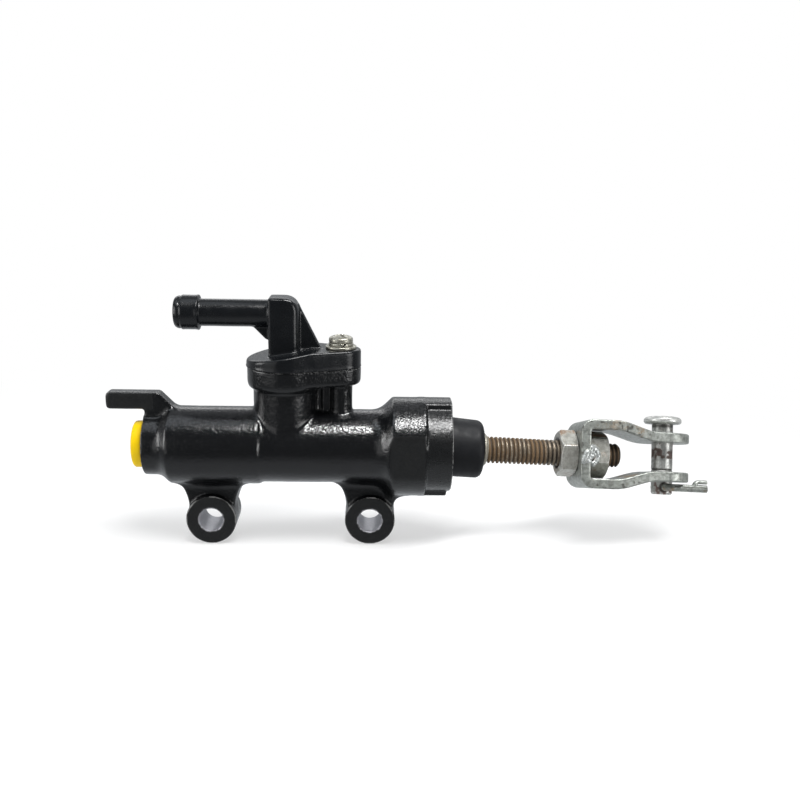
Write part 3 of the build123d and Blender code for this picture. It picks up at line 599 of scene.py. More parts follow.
def casting():
    step = 0.3
    low = (-52.2, -15.0, -8.1)
    x, y, z = axes(low, (46.2, 15.0, 44.8), step)
    side = np.abs(y)
    up = z - AXIS_Z
    r = np.hypot(y[0], up[0])
    along = x[:, 0, 0]

    # Barrel with its step, collar with two flats, mouth with two ribs
    barrel = turned(along, r, [(-36.6, 0), (-36.6, 8.5), (-33.7, 11), (-8.7, 11), (-8.0, 10.45),
                               (40, 10.45), (40, 0)])
    port = turned(along, r, [(-41, 0), (-41, 8.65), (-30, 8.65), (-30, 0)])
    body = smin(barrel, port, 0.9)
    collar = turned(along, r, [(22, 0), (22, 7.8), (28.6, 14.1), (37.8, 14.1), (37.8, 0)])
    collar = smax(collar, side - 12.7, 0.35)
    body = smin(body, collar, 1.6)
    mouth = turned(along, r, [(30, 0), (30, 12.7), (MOUTH_X, 12.7), (MOUTH_X, 0)])
    body = smin(body, mouth, 0.5)
    for way, end in ((1, MOUTH_X), (-1, MOUTH_X - 1)):
        rib = np.maximum(np.maximum(r[None] - 14.1, side - 4.4), np.maximum(x - end, 36 - x))
        body = smin(body, np.maximum(rib, -way * up), 0.35)

    # Tab over the port
    tab = filleted([(-51.3, 31.3), (-51.3, 36.1), (-36.7, 36.1), (-32.3, 31.7), (-31.5, 27), (-40.8, 27),
                    (-40.8, 31.3)], [1.1, 1.1, 0.8, 0, 0, 0, 0.5], closed=True)
    flat = polygon(x[:, :, 0], z[0], tab)[:, None, :]
    body = smin(body, smax(flat, side - 2.3, 0.45), 1.0)

    # Inlet boss, screw boss and the rib between them, under the teardrop flange
    top = z - FLANGE_TOP
    boss = np.hypot(x - INLET_X, y) - 8.85
    body = smin(body, np.maximum(boss, np.maximum(top, -up)), 1.0)
    column = np.hypot(x - SCREW_X, y) - 3.3
    slim = np.minimum(np.hypot(x - 9.6, y) - 1.7, np.maximum(side - 1.1, np.abs(x - 6) - 8))
    body = smin(body, np.maximum(smin(column, slim, 0.7), np.maximum(top, -up)), 0.9)
    round_flange = smax(np.hypot(x - INLET_X, y) - 10.4, 37.9 - z, 1.8)
    hull = smax(teardrop(x, y, INLET_X, 10.4, SCREW_X, 5.6), 39.0 - z, 1.5)
    body = smin(body, np.maximum(smin(round_flange, hull, 0.4), top), 0.7)

    # Ears on drafted webs
    for ear, left, right in ((EARS[0], (9.8, 10.5), (9.8, 10.5)), (EARS[1], (9.8, 10.5), (10.6, 7.4))):
        web = polygon(x[:, :, 0], z[0], web_outline(ear, left, right))[:, None, :]
        web = smax(web + side * 0.158, side - 3.6, 0.5)
        body = smin(body, web, 1.9)
        lug = smax(np.hypot(x - ear, z) - 7.1, side - 5.7, 0.25)
        body = smin(body, lug, 0.45)
        hole = np.hypot(x - ear, z) - 3.25 - unit(side - 5.3)
        body = np.maximum(body, -hole)

    # Bores: main bore with its seats and grooves, fluid well, ports, screw hole, outlet
    bore = [(-41.5, 0), (-41.5, 4.5), (-31, 4.5), (-31, 1.6), (-27, 1.6), (-27, 6.35), (35.8, 6.35),
            (35.8, 7.6), (37.1, 7.6), (37.1, 8.3), (38.4, 8.3), (38.4, 7.6), (39.6, 7.6), (39.6, 8.75),
            (40.8, 8.75), (40.8, 9.8), (42.6, 9.8), (42.6, 8.75), (44.8, 8.75), (45.3, 9.25), (46, 9.25),
            (46, 0)]
    body = np.maximum(body, -turned(along, r, bore))
    for at, radius, floor in ((INLET_X, 5.8, 30.5), (2.2, 1.25, AXIS_Z), (-6.8, 0.4, AXIS_Z),
                              (SCREW_X, 2.05, 33)):
        body = np.maximum(body, -np.maximum(np.hypot(x - at, y) - radius, floor - z))

    shape = Shape(body, low, step)
    v = shape.v
    side, radius = np.abs(v[:, 1]), np.hypot(v[:, 1], v[:, 2] - AXIS_Z)
    ear = np.min([np.hypot(v[:, 0] - e, v[:, 2]) for e in EARS], 0)
    crisp = (ear < 7.6) | (v[:, 0] > 44.3) | (v[:, 2] > 43.5)
    shape.smooth(5, np.where(crisp, 0.12, 0.5))
    v = shape.v
    ground = ((ear < 7.0) & (side > 5.45)) | ((side > 12.5) & (v[:, 0] < 37.5) & (v[:, 0] > 28))
    tab = (v[:, 0] < -38) & (v[:, 2] > 31.2) & (side > 2.05)
    ground = unit(ground + 0.75 * tab + 0.25 * (v[:, 0] > 27) + 0.35 * (v[:, 0] > 38))
    bare = (ear < 3.55 + 0.25 * noise(v, 0.8, 5)) & (v[:, 2] < 8)
    bare |= (v[:, 0] > 44.6) & (radius < 9.35) & (radius > 8.3)
    bare |= (radius < 8.9) & (v[:, 0] > -30) & (v[:, 0] < 44) & (v[:, 2] < 31)
    inner = (radius < 6.6) & (np.abs(v[:, 0]) < 36)
    for _ in range(2):
        ground = 0.5 * (ground + shape.mean(ground))
    bare = 0.6 * bare + 0.4 * shape.mean(bare.astype(float))
    edge = shape.edge(0.06)
    radius = np.hypot(v[:, 1], v[:, 2] - AXIS_Z)
    # Painted highlight: a thin bright line along the mouth's outer rim and the ear rings' front rims, added
    # to the edge mask.
    rim = (v[:, 0] > 44.85) & (radius > 12.1) & (radius < 12.9)
    rim |= (np.abs(ear - 7.05) < 0.3) & (side > 5.35)
    edge = edge + rim * (0.12 + 0.6 * noise(v, 2.0, 4))
    rough = 0.014 * noise(v, 1.5, 1) + 0.04 * noise(v, 5, 2) + 0.008 * noise(v, 0.7, 3)
    calm = np.where((ear < 3.8) | (v[:, 2] > 43.5) | inner, 0.0, 1 - 0.75 * ground)
    shape.push(rough * calm)
    grain = unit((shape.normals()[:, 2] - 0.2) / 0.4) * (1 - ground) * np.where(v[:, 0] < -8, 0.35, 1)
    make_mesh("cylinder_casting", shape.v, shape.q, LOOKS["body"], "cylinder",
              {"ground": ground, "bare": bare, "grain": grain, "edge": unit(edge)}, ["cylinder_body"])


# ---- hose elbow
def elbow():
    step = 0.24
    low = (-32.3, -11.3, 37.9)
    x, y, z = axes(low, (20.3, 11.3, 63.9), step)
    side = np.abs(y)
    along = x[:, 0, 0]
    roof = np.minimum(49.0, 46.0 + (x + 12.35) * 3.0 / 18.35)
    plate = smax(teardrop(x, y, INLET_X, 10.7, SCREW_X, 5.6), z - roof, 0.8)
    lip = np.maximum(teardrop(x, y, INLET_X, 10.85, SCREW_X, 5.72), z - 44.35)
    body = np.maximum(smin(plate, lip, 0.15), FLANGE_TOP - z)

    plan = filleted([(-6.2, -4.4), (2.85, -4.4), (2.85, 4.4), (-6.2, 4.4)], [0.7, 2.6, 2.6, 0.7],
                    closed=True)
    face = filleted([(-6.2, FLANGE_TOP), (2.85, FLANGE_TOP), (2.85, 63.2), (-6.2, 63.2)],
                    [0, 0, 4.6, 0.6], closed=True)
    across, facing = (x[:, :, 0], y[:, :, 0]), (x[:, :, 0], z[0])
    post = smax(polygon(*across, plan)[:, :, None], polygon(*facing, face)[:, None, :], 1.3)
    body = smin(body, post, 0.7)

    front = polygon(*facing, [(-10.4, HOSE_Z), (-10.4, 54.95), (-6.9, 51.4), (-5.4, 51.0), (-5.4, HOSE_Z)])
    rear = polygon(*facing, [(-1.5, 44), (-1.5, 58.8), (2.2, 61.4), (8.5, 48.9), (8.3, 44)])
    for gusset in (front, rear):
        body = smin(body, smax(gusset[:, None, :], side - 1.1, 0.4), 0.6)

    r = np.hypot(y[0], z[0] - HOSE_Z)
    tube = [(-31.6, 0), (-31.6, 3.6), (-31.3, 4.1), (-30.7, 4.45), (-30.1, 4.55), (-29.9, 4.3),
            (-29.75, 4.3), (-29.55, 4.85), (-29.0, 4.74), (-25.6, 4.74), (-25.2, 4.88), (-24.85, 4.88),
            (-24.75, 3.75), (-4, 3.75), (-4, 0)]
    body = smin(body, turned(along, r, tube), 0.35)
    spigot = [(38.6, 0), (38.6, 5.65), (40.2, 5.65), (40.2, 4.35), (42, 4.35), (42, 5.65), (44.2, 5.65),
              (44.2, 0)]
    spigot = turned(z[0, 0], np.hypot(x[:, :, 0] - INLET_X, y[:, :, 0]), spigot)
    body = np.minimum(body, np.moveaxis(spigot, 0, 2))

    way = np.maximum(r[None] - 2.4 - np.clip(-31.2 - x, 0, 0.5), x + 1.6)
    down = np.maximum(np.hypot(x - INLET_X, y) - 2.75, z - HOSE_Z)
    body = np.maximum(body, -np.minimum(way, down))
    body = np.maximum(body, -(np.hypot(x - SCREW_X, y) - 2.25))

    shape = Shape(body, low, step)
    v = shape.v
    sharp = np.abs(v[:, 2] - FLANGE_TOP) < 0.9
    shape.smooth(4, np.where(sharp, 0.15, 0.45))
    edge = shape.edge(0.055)
    shape.push((0.02 * noise(shape.v, 3.5, 11) + 0.006 * noise(shape.v, 1.0, 12)) * ~sharp)
    make_mesh("elbow_moulding", shape.v, shape.q, LOOKS["plastic"], "cylinder",
              {"edge": unit(edge)}, ["hose_elbow"])


def bore_line(points):
    """Points of (along, crosswise, up) about the bore, in the row frame."""
    p = np.asarray(points, float)
    return np.stack([p[:, 0], p[:, 1], p[:, 2] + AXIS_Z], 1)


def transit_plug():
    outline = filleted([(-43.4, 0), (-43.5, 4.5), (-44.1, 5.0), (-44.1, 6.6), (-41.0, 6.6), (-41.0, 4.4),
                        (-33.0, 4.4), (-33.0, 3.3), (-41.0, 3.3), (-41.4, 0)],
                       [0, 0.4, 0.4, 0.85, 0.25, 0, 0.4, 0.2, 0.3, 0])
    verts, faces = lathe(densify(outline, 0.35), 112)
    ridge = 0.03 * noise(verts, 1.2, 21)
    verts = bore_line(verts)
    verts[:, 2] += ridge * (verts[:, 0] < -41.2)
    # Painted shade mask: 0 on the front of the cap, 1 on its skirt end and stem.
    skirt_shade = unit((verts[:, 0] + 42.0) / 0.8) ** 2
    make_mesh("transit_plug", verts, faces, LOOKS["yellow"], "plug", {"skirt_shade": skirt_shade}, ["outlet_plug"],
              merge=True)


# ---- dust boot
def boot():
    nose = 20.6
    mouth_at = np.array([MOUTH_X, 0, AXIS_Z])
    rise = np.array([0, 0, 1.0]) - ROD[2] * ROD
    rise /= np.linalg.norm(rise)
    cross = np.cross(rise, ROD)
    nose_at = BALL + ROD * nose
    length = float((nose_at - mouth_at) @ ROD)
    outline = filleted([(-4.3, 7.4), (-4.3, 9.6), (-2.7, 9.6), (-2.7, 8.5), (0, 8.5), (length, 8.25),
                        (length, 3.45), (length - 1.2, 3.45), (length - 1.2, 7.0), (0, 7.3), (-4.3, 7.3)],
                       [0.3, 0.3, 0.3, 0.2, 0, 1.9, 0.45, 0.3, 0.8, 0, 0])
    outline = densify(outline, 0.3)
    around = 128
    angle = np.arange(around) * 2 * math.pi / around
    s, t = np.meshgrid(outline[:, 0], angle, indexing="ij")
    r = np.repeat(outline[:, 1:2], around, 1)
    lean = unit(s / length)[..., None]
    at_mouth = mouth_at + np.minimum(s, 0)[..., None] * np.array([1.0, 0, 0])
    ring_mouth = np.stack([0 * s, r * np.cos(t), r * np.sin(t)], -1)
    ring_nose = (r * np.cos(t))[..., None] * cross + (r * np.sin(t))[..., None] * rise
    verts = (at_mouth + ring_mouth) * (1 - lean) + (nose_at + ring_nose) * lean
    verts = verts.reshape(-1, 3)
    faces = grid_faces(len(outline), around).tolist()
    last = (len(outline) - 1) * around
    faces += [(last + j, last + (j + 1) % around, (j + 1) % around, j) for j in range(around)]
    verts += 0.02 * noise(verts, 2.2, 31)[:, None] * np.array([0, 0.7, 0.7])
    piece = make_mesh("dust_boot_rubber", verts, faces, LOOKS["boot"], "cylinder", {}, ["dust_boot"],
                      merge=True)
    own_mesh(piece)


# ---- push rod
def rod():
    pitch, crest, root = 1.25, 3.85, 3.22
    start, tip = 21.85, 60.8
    ball_r, neck_r = 4.6, 2.3
    ball = [(-ball_r * math.cos(a), ball_r * math.sin(a))
            for a in np.linspace(0, math.pi - math.asin(neck_r / ball_r), 26)]
    outline = ball + filleted([ball[-1], (20.95, neck_r), (20.95, 4.7), (21.4, 4.7), (22.05, crest),
                               (59.9, 3.55), (tip, 2.6), (tip, 0)],
                              [0, 0.3, 0.15, 0.3, 0.1, 0.3, 0.3, 0])[1:]
    outline = densify(outline, 0.09)

    def thread(s, r, t):
        turn = (s / pitch - t / (2 * math.pi)) % 1
        wave = unit(1.35 * (1 - np.abs(2 * turn - 1)) - 0.1)
        wave = wave * wave * (3 - 2 * wave)
        groove = root + (crest - root) * wave
        late = unit((s - 57.2) / 1.2)
        groove = groove - late * 0.42
        on = unit((s - start) / 0.5) * unit((tip - 0.5 - s) / 0.3)
        cut = np.minimum(r, r + on * (groove - np.maximum(r, groove)))
        return np.where((s > start) & (s < tip - 0.1), cut, r)

    verts, faces = lathe(outline, 84, thread)
    radius = np.hypot(verts[:, 1], verts[:, 2])
    s = verts[:, 0]
    threaded = (s > 22.15) & (s < tip)
    depth = unit((crest - radius) / (crest - root)) * threaded
    pits = 0.03 * noise(verts, 0.6, 41) * threaded
    verts[:, 1:] *= (1 + pits / np.maximum(radius, 1))[:, None]
    near_nut = unit((s - 36) / 6) * (s < 43)
    # Crests get less rust and, further down, a lighter edge colour: painted highlight lines along the
    # thread crests.
    crests = unit(1 - 5 * depth) * threaded
    near_boot = unit(1 - (s - 22) / 7)
    rust = 0.66 - 0.5 * crests + 0.4 * near_boot - 0.4 * near_nut + 0.35 * noise(verts, 2.5, 42)
    rust = np.where(s > 56, 0.95, unit(rust) * threaded)
    # Darker down in the thread grooves, more so next to the lock nut.
    grime_and_shade = unit(depth - 0.25 + 0.2 * near_nut)
    shoulder = (s > 20.9) & (s < 22.15)
    edge = 0.6 * crests * unit((s - 25) / 4) * (s < 56) + 0.9 * shoulder
    make_mesh("threaded_rod", on_rod(verts), faces, LOOKS["rod"], "rod",
              {"rust": rust, "grime_and_shade": grime_and_shade, "edge": edge}, ["push_rod"], merge=True)


def hexagon(name, node, start, thickness, seed):
    """A nut on the rod, its corners where the CAD nut has them."""
    cad = np.array([v.co for v in frame["nodes"][node].data.vertices]) / MM - BALL
    b, h = cad @ BACK, cad @ UP
    far = np.argmax(np.hypot(b, h))
    corner = math.atan2(h[far], b[far])
    step = 0.13
    low = (start - 0.5, -7.5, -7.5)
    s, b, h = axes(low, (start + thickness + 0.5, 7.5, 7.5), step)
    r = np.hypot(b, h)
    body = np.full(np.broadcast(b, h).shape, -99.0)
    for k in range(6):
        a = corner + math.pi / 6 + k * math.pi / 3
        body = smax(body, b * math.cos(a) + h * math.sin(a) - 6.0, 0.12)
    body = smax(body, 0.87 * (r - 5.95 - (s - start) / 0.58), 0.12)
    body = smax(body, 0.87 * (r - 5.95 - (start + thickness - s) / 0.58), 0.12)
    body = smax(body, np.abs(s - start - thickness / 2) - thickness / 2, 0.12)
    sink = unit(0.75 - (s - start)) + unit(0.75 - (start + thickness - s))
    body = np.maximum(body, -(r - 3.93 - 0.8 * sink))
    shape = Shape(body, low, step)
    shape.smooth(2, 0.3)
    v = shape.v
    # Edge mask: the corners take the nut's very light edge colour, a painted highlight.
    edge = shape.edge(0.02)
    shape.push(0.02 * noise(v, 1.2, seed) + 0.008 * noise(v, 0.5, seed + 1))
    radius = np.hypot(v[:, 1], v[:, 2])
    rust = unit(0.15 + 0.55 * noise(v, 2.4, seed + 2) + 0.32 * (shape.normals()[:, 2] > 0.5))
    # Painted shade: darker round the bore and, on the lock nut, on the face towards the clevis nut.
    grime_and_shade = unit((5.0 - radius) / 0.7) + 0.7 * unit(1 - (start + thickness - v[:, 0]) / 0.5) * (start < 45)
    make_mesh(name, on_rod(v), shape.q, LOOKS["nut"], "lock_nut" if node == "lock_nut" else "clevis",
              {"rust": rust * 0.8, "grime_and_shade": grime_and_shade, "edge": unit(edge)}, [node])


# ---- clevis
def fork():
    step = 0.19
    low = (46.9, -9.3, -10.3)
    s, b, h = axes(low, (82.3, 9.3, 10.3), step)
    line = filleted([(84, 5.575), (68.5, 5.575), (59.5, 8.375), (49.125, 8.375), (49.125, -8.375),
                     (59.5, -8.375), (68.5, -5.575), (84, -5.575)], [0, 14, 14, 2.2, 2.2, 14, 14, 0])
    strip = polyline(s[:, :, 0], h[0], line)[:, None, :] - 1.425
    corner = [(47.0, -8.5), (59.5, -8.5)]
    eye = [(PIN_AT + 7.5 * math.sin(a), -7.5 * math.cos(a)) for a in np.linspace(-0.07, math.pi + 0.07, 40)]
    plan = polygon(s[:, :, 0], b[:, :, 0], corner + eye + [(59.5, 8.5), (47.0, 8.5)])[:, :, None]
    body = smax(strip, plan, 0.5)
    body = np.maximum(body, -(np.hypot(s - PIN_AT, b) - 3.08))
    hole = np.maximum(np.hypot(b, h) - 4.2, s - 52)
    body = np.maximum(body, -hole)
    shape = Shape(body, low, step)
    shape.smooth(3, 0.4)
    v = shape.v
    sheared = unit((np.abs(v[:, 1]) - 7.2) / 0.8) * (v[:, 0] < 72)
    edge = shape.edge(0.04)
    shape.push(0.03 * noise(v, 2.5, 61) + (0.02 + 0.06 * sheared) * noise(v, 0.8, 62)
               + 0.05 * sheared * noise(v, 0.4, 63))
    upper = v[:, 2] > 4
    rust = 0.16 + 0.22 * noise(v, 2.6, 64) + 0.27 * sheared * upper * (v[:, 0] > 51)
    inner_joggle = np.exp(-((v[:, 0] - 63) / 3.5) ** 2) * (v[:, 2] < -3) * (v[:, 2] > -7.2) * (v[:, 1] > -8)
    rust = unit(rust + 0.45 * inner_joggle)
    grime_and_shade = unit(0.55 * noise(v, 1.6, 65) - 0.25) * 0.5
    grime_and_shade += 0.7 * sheared * unit(4 * noise(v, 0.75, 66) - 1.9 + 0.5 * upper)
    make_mesh("clevis_fork", on_rod(v), shape.q, LOOKS["clevis"], "clevis",
              {"rust": rust * 0.75, "grime_and_shade": grime_and_shade, "edge": unit(edge) * (1 - 0.3 * sheared)},
              ["clevis"])


def weld():
    """The lumpy bead that joins the inner nut to the plate."""
    blobs = [(48.0, -8.0, -2.2, 1.05), (48.5, -8.2, -1.1, 1.05), (49.0, -8.2, 0.2, 1.0),
             (49.5, -7.8, -2.1, 0.95), (50.1, -7.3, 1.4, 1.1), (51.1, -6.8, 1.8, 0.95),
             (51.9, -6.5, 0.8, 1.1), (52.4, -6.4, -0.5, 1.1), (52.0, -6.4, -1.9, 1.05),
             (51.0, -6.7, -2.9, 1.0), (50.3, -7.5, -0.5, 1.1)]
    step = 0.12
    low = (47.7, -9.6, -4.6)
    s, b, h = axes(low, (54.4, -4.6, 3.4), step)
    body = np.full(np.broadcast(s, b, h).shape, 9.0)
    for cs, cb, ch, cr in blobs:
        body = smin(body, np.sqrt((s - cs - 0.4) ** 2 + (b - cb) ** 2 + (h - ch) ** 2) - cr, 0.6)
    shape = Shape(np.maximum(body, -(b + 9.2)), low, step)
    shape.push(0.07 * noise(shape.v, 0.9, 71) + 0.012 * noise(shape.v, 0.35, 72))
    rust = unit(0.2 + 0.3 * noise(shape.v, 1, 73))
    make_mesh("weld_bead", on_rod(shape.v), shape.q, LOOKS["weld"], "clevis",
              {"rust": rust, "edge": unit(shape.edge(0.04))}, [])


# ---- clevis pin and cotter
def at_pin(points):
    """Points of (up the pin, along the rod, to the back) in the row frame."""
    p = np.asarray(points, float)
    return on_rod(np.stack([PIN_AT + p[:, 1], p[:, 2], p[:, 0]], 1))


def pin():
    outline = filleted([(-10.7, 0), (-10.7, 2.55), (-10.2, 3.0), (-3.75, 3.0), (-3.65, 2.86),
                        (-3.35, 2.86), (-3.25, 3.0), (9.9, 3.0), (9.9, 4.95), (10.35, 5.35), (11.15, 5.35),
                        (11.75, 4.75), (12.0, 3.6), (11.96, 0)],
                       [0, 0.2, 0.3, 0, 0.05, 0.05, 0, 0.3, 0.25, 0.35, 0.5, 0.8, 1.5, 0])
    verts, faces = lathe(densify(outline, 0.25), 112)
    h = verts[:, 0].copy()
    radius = np.hypot(verts[:, 1], verts[:, 2])
    wear = 0.02 * noise(verts, 1.4, 81) + 0.01 * noise(verts, 0.5, 82)
    verts[:, 1:] *= (1 + wear / np.maximum(radius, 2))[:, None]
    middle = np.exp(-((h - 1.2) / 2.0) ** 2)
    low_end = unit((-7.4 - h) / 1.5)
    rust = unit(0.7 * middle + 0.4 * low_end + 0.6 * noise(verts, 0.8, 83)) * (radius < 3.3)
    # Painted shade: a dark band under the head, a dark line in the groove and a dark ring round the split
    # pin at its hole; the middle band is rust and dirt.
    neck = np.exp(-((h - 9.2) / 0.8) ** 2)
    hole = np.exp(-((np.hypot(verts[:, 1] + 0.1, h - COTTER_AT) - 1.25) / 0.4) ** 2) * (verts[:, 2] < 0)
    groove = np.exp(-((h + 3.5) / 0.25) ** 2)
    grime_and_shade = 0.5 * middle + 0.35 * noise(verts, 1.0, 84) * middle + 0.8 * neck + 1.2 * groove + hole
    grime_and_shade = unit(grime_and_shade) * (radius < 3.2)
    make_mesh("headed_pin", at_pin(verts), faces, LOOKS["pin"], "pin",
              {"rust": rust, "grime_and_shade": grime_and_shade, "edge": unit((radius - 4.9) * 2) * 0.6}, ["clevis_pin"],
              merge=True)


def cotter():
    """Long slit leg through the pin, short leg bent up off it, and the eye behind the pin."""
    turn = np.linspace(0, 2 * math.pi, 30, endpoint=False)
    slit = np.exp(-((turn - 0.32) / 0.16) ** 2)
    lead = densify(filleted([(PIN_AT, 4.1), (PIN_AT, -4.3), (85.65, -4.3)], [0, 1.3, 0]), 0.3)
    long_leg = np.stack([lead[:, 0], lead[:, 1], np.full(len(lead), COTTER_AT)], 1)
    size = 1.07 - 0.13 * slit
    long_section = np.stack([size * np.cos(turn), size * np.sin(turn)], 1)
    rise = filleted([(78.8, 0.28), (81.8, 0.28), (82.6, 1.7), (85.55, 1.75)], [0, 0.9, 0.9, 0])
    rise = densify(rise, 0.25)
    short_leg = np.stack([rise[:, 0], np.full(len(rise), -4.3), COTTER_AT + rise[:, 1]], 1)
    low = np.clip(np.sin(turn), -0.55, 1)
    short_section = np.stack([0.9 * np.cos(turn), 0.74 * low], 1)
    around = np.linspace(0.35, 2 * math.pi - 0.35, 60) + 0.7
    eye = np.stack([75.5 - 1.85 * np.sin(around), 6.0 - 1.85 * np.cos(around), np.full(60, COTTER_AT)], 1)
    eye_section = 0.74 * np.stack([np.cos(turn), np.sin(turn)], 1)
    verts, faces, dark = [], [], []
    for path, section, groove in ((long_leg, long_section, slit), (short_leg, short_section, 0 * slit),
                                  (eye, eye_section, 0 * slit)):
        v, f = swept(path, section, (0, 0, 1))
        faces += [tuple(i + len(verts) for i in face) for face in f]
        verts += (v + 0.025 * noise(v, 0.9, 91)[:, None]).tolist()
        dark += np.tile(groove, len(path)).tolist()
    verts, dark = np.array(verts), np.array(dark)
    near_bend = unit(1 - np.abs(verts[:, 0] - 74.6) / 3) * (verts[:, 1] < 0)
    rust = unit(0.12 + 0.35 * near_bend + 0.3 * noise(verts, 1.3, 92))
    # Painted shade down the slit of the long leg; dirt near the bend at the pin.
    grime_and_shade = unit(0.85 * dark * (verts[:, 0] > 76) + 0.35 * near_bend)
    make_mesh("split_pin", on_rod(verts), faces, LOOKS["clevis"], "pin",
              {"rust": rust, "grime_and_shade": grime_and_shade, "edge": np.zeros(len(verts))}, ["cotter_pin"])


# ---- elbow screw, washers, spring
def screw():
    step = 0.1
    low = (10.2, -3.7, 50.3)
    x, y, z = axes(low, (17.6, 3.7, 53.1), step)
    u, v = x - SCREW_X, y
    turn = math.radians(24)
    a, c = u * math.cos(turn) + v * math.sin(turn), -u * math.sin(turn) + v * math.cos(turn)
    r = np.hypot(u, v)
    head = smax(smax(r - 3.35, 50.75 - z, 0.3), np.sqrt(r * r + (z - 45.6) ** 2) - 7.2, 0.5)
    taper = 0.5 * (52.8 - z)
    cross = np.minimum(np.maximum(np.abs(a) - 1.85 + taper, np.abs(c) - 0.42 + 0.12 * taper),
                       np.maximum(np.abs(c) - 1.85 + taper, np.abs(a) - 0.42 + 0.12 * taper))
    head = np.maximum(head, -np.maximum(cross, 51.3 - z))
    shape = Shape(head, low, step)
    shape.smooth(2, 0.35)
    edge = unit(shape.edge(0.025))
    shape.push(0.02 * noise(shape.v, 0.8, 101))
    # Painted shade: the cross recess and other hollows of the head are darkened.
    rust, grime_and_shade = unit(0.25 * noise(shape.v, 1.2, 102)), unit(0.6 * -shape.edge(0.025))
    make_mesh("screw_head", shape.v, shape.q, LOOKS["zinc"], "cylinder",
              {"rust": rust, "grime_and_shade": grime_and_shade, "edge": edge}, ["elbow_screw"])
    shank, faces = lathe(densify([(34.5, 0), (34.5, 1.6), (35, 2.0), (50.9, 2.0), (50.9, 0)], 0.3), 48)
    shank = np.stack([shank[:, 1] + SCREW_X, shank[:, 2], shank[:, 0]], 1)
    make_mesh("screw_shank", shank, faces, LOOKS["zinc"], "cylinder", {}, [], merge=True)

    low = (9.2, -4.7, 48.7)
    x, y, z = axes(low, (18.6, 4.7, 51.0), step)
    r = np.hypot(x - SCREW_X, y)
    flat = smax(smax(r - 4.3, np.abs(z - 49.4) - 0.4, 0.25), 2.25 - r, 0.1)
    angle = np.arctan2(y, x - SCREW_X)
    slit = math.radians(-75)
    gap = np.maximum(np.abs(r * np.sin(angle - slit - (z - 50.2) * 0.35)) - 0.28, -np.cos(angle - slit))
    ring = smax(smax(r - 3.45, np.abs(z - 50.25) - 0.42, 0.2), 2.25 - r, 0.1)
    for name, field in (("flat_washer", flat), ("lock_washer", np.maximum(ring, -gap))):
        shape = Shape(field, low, step)
        shape.smooth(2, 0.35)
        make_mesh(name, shape.v, shape.q, LOOKS["zinc"], "cylinder", {"edge": unit(shape.edge(0.025))},
                  ["screw_" + name])


def coil():
    turns, steps = 6.5, 260
    t = np.linspace(0, 1, steps)
    a = t * turns * 2 * math.pi
    ends = unit((t - 0.12) / 0.76)
    path = np.stack([-26.45 + 18.7 * ends, 4.9 * np.cos(a), 4.9 * np.sin(a) + AXIS_Z], 1)
    b = np.linspace(0, 2 * math.pi, 14, endpoint=False)
    wire = 0.52 * np.stack([np.cos(b), np.sin(b)], 1)
    verts, faces = swept(path, wire, (1, 0, 0))
    piece = make_mesh("return_coil", verts, faces, LOOKS["spring"], "cylinder", {}, ["return_spring"])
    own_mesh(piece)


casting()
elbow()
transit_plug()
boot()
rod()
hexagon("lock_nut_hex", "lock_nut", 42.7, 5.0, 51)
hexagon("clevis_nut_hex", "clevis_nut", 50.55, 6.1, 55)
fork()
weld()
pin()
cotter()
screw()
coil()

for node, look in (("piston", "alloy"), ("primary_cup", "rubber"), ("secondary_cup", "rubber"),
                   ("elbow_o_ring", "rubber"), ("stop_washer", "spring"), ("circlip", "spring")):
    mesh = frame["nodes"][node].data
    mesh.materials.clear()
    mesh.materials.append(LOOKS[look])


# ---- stage, light and camera
def floor():
    mesh = bpy.data.meshes.new("floor")
    reach, z = 3.0, FLOOR_Z * MM
    corners = [(-reach, -reach, z), (reach, -reach, z), (reach, reach, z), (-reach, reach, z)]
    mesh.from_pydata(corners, [], [(0, 1, 2, 3)])
    look = Look("floor")
    look.set(Base_Color=(0.92, 0.92, 0.92), Roughness=0.9)
    glow = look.new("ShaderNodeEmission")
    glow.inputs["Color"].default_value = (1, 1, 1, 1)
    glow.inputs["Strength"].default_value = 1.0
    far = look.new("ShaderNodeVectorMath")
    far.operation = "LENGTH"
    look.links.new(look.place, far.inputs[0])
    blend = look.new("ShaderNodeMixShader")
    look.links.new(look.span(far.outputs["Value"], 0.05, 0.24, 0.55, 1.0), blend.inputs[0])
    look.links.new(look.bsdf.outputs[0], blend.inputs[1])
    look.links.new(glow.outputs[0], blend.inputs[2])
    out = [n for n in look.nodes if n.type == "OUTPUT_MATERIAL"][0]
    look.links.new(blend.outputs[0], out.inputs[0])
    mesh.materials.append(look.mat)
    piece = bpy.data.objects.new("floor", mesh)
    bpy.context.scene.collection.objects.link(piece)
    piece.visible_glossy = False


def lamp(name, place, aim, size, power, tint=(1, 1, 1)):
    light = bpy.data.lights.new(name, "AREA")
    light.shape = "RECTANGLE"
    light.size, light.size_y = size
    light.energy = power
    light.color = tint
    piece = bpy.data.objects.new(name, light)
    piece.location = place
    piece.rotation_euler = (Vector(aim) - Vector(place)).to_track_quat("-Z", "Y").to_euler()
    piece.visible_camera = False
    bpy.context.scene.collection.objects.link(piece)


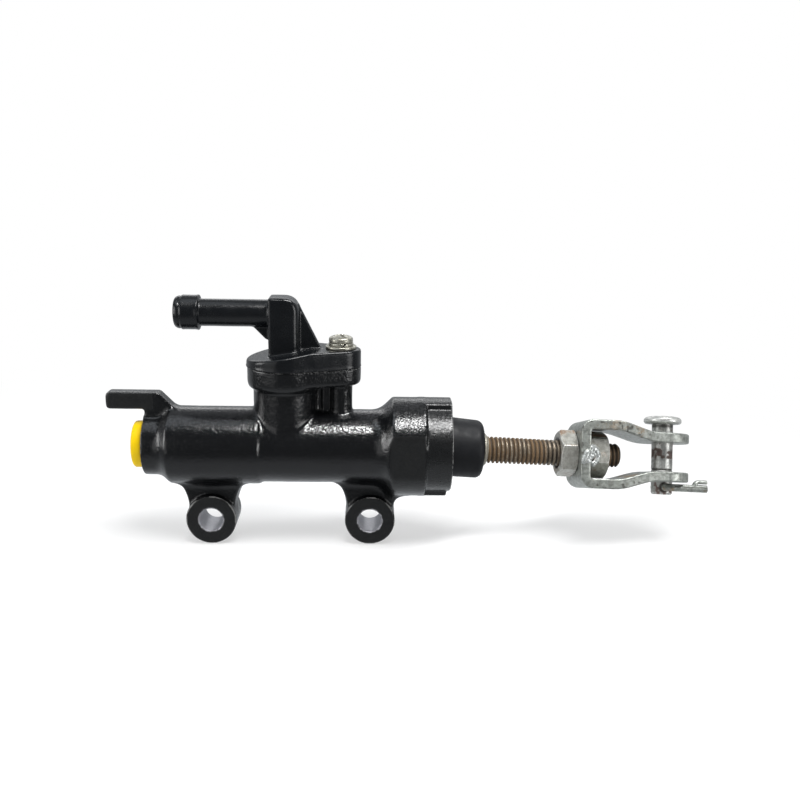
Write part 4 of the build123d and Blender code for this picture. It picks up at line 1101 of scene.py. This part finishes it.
def world():
    """White where the camera looks past the part; for the part itself, dark in front and bright behind."""
    sky = bpy.data.worlds.new("studio")
    bpy.context.scene.world = sky
    sky.use_nodes = True
    nodes, links = sky.node_tree.nodes, sky.node_tree.links
    nodes.clear()
    out = nodes.new("ShaderNodeOutputWorld")
    studio, white = nodes.new("ShaderNodeBackground"), nodes.new("ShaderNodeBackground")
    way = nodes.new("ShaderNodeSeparateXYZ")
    links.new(nodes.new("ShaderNodeTexCoord").outputs["Generated"], way.inputs[0])
    both = nodes.new("ShaderNodeMath")
    behind, below = (1, (-0.35, 0.75, 0.105, 0.43)), (2, (-0.22, -0.7, 0.0, 0.42))
    for k, (axis, span) in enumerate((behind, below)):
        glow = nodes.new("ShaderNodeMapRange")
        glow.interpolation_type = "SMOOTHSTEP"
        for i, value in enumerate(span):
            glow.inputs[i + 1].default_value = value
        links.new(way.outputs[axis], glow.inputs[0])
        links.new(glow.outputs[0], both.inputs[k])
    links.new(both.outputs[0], studio.inputs["Strength"])
    studio.inputs["Color"].default_value = (0.92, 0.96, 1.0, 1)
    white.inputs["Color"].default_value = (1, 1, 1, 1)
    seen = nodes.new("ShaderNodeLightPath").outputs["Is Camera Ray"]
    blend = nodes.new("ShaderNodeMixShader")
    links.new(seen, blend.inputs[0])
    links.new(studio.outputs[0], blend.inputs[1])
    links.new(white.outputs[0], blend.inputs[2])
    links.new(blend.outputs[0], out.inputs[0])


def camera():
    """257 mm in front and 99 mm up, looking down by 14 degrees."""
    tilt, turn, roll = math.radians(14.2), math.radians(2.21), math.radians(1.16)
    ahead = Vector((math.sin(turn) * math.cos(tilt), math.cos(turn) * math.cos(tilt), -math.sin(tilt)))
    level = ahead.cross(Vector((0, 0, 1))).normalized()
    rise = level.cross(ahead)
    right = level * math.cos(roll) + rise * math.sin(roll)
    up = -level * math.sin(roll) + rise * math.cos(roll)
    lens = bpy.data.cameras.new("camera")
    lens.sensor_width = 36
    lens.lens = 42.26
    lens.clip_start, lens.clip_end = 0.01, 20
    piece = bpy.data.objects.new("camera", lens)
    bpy.context.scene.collection.objects.link(piece)
    facing = Matrix((right, up, -ahead)).transposed().to_4x4()
    piece.matrix_world = Matrix.Translation((0.0207, -0.2572, 0.0994)) @ facing
    bpy.context.scene.camera = piece


floor()
world()
lamp("top_right", (0.15, -0.125, 0.50), (0.05, 0, 0.02), (0.42, 0.13), 3.9)
lamp("top_left", (-0.24, -0.04, 0.50), (0.0, 0, 0.02), (0.30, 0.40), 0.45, (0.88, 0.94, 1))
lamp("front_right", (0.50, -0.35, 0.06), (0.09, 0, 0.02), (0.28, 0.26), 1.1)
lamp("front_left", (-0.40, -0.42, 0.10), (0.08, 0, 0.02), (0.4, 0.4), 0.42)
lamp("left", (-0.45, -0.10, 0.12), (0.0, 0, 0.02), (0.2, 0.25), 0.8)
lamp("rim", (0.0, 0.50, 0.30), (0.02, 0, 0.02), (0.7, 0.15), 0.6)
camera()
bpy.context.scene.view_settings.view_transform = "Standard"
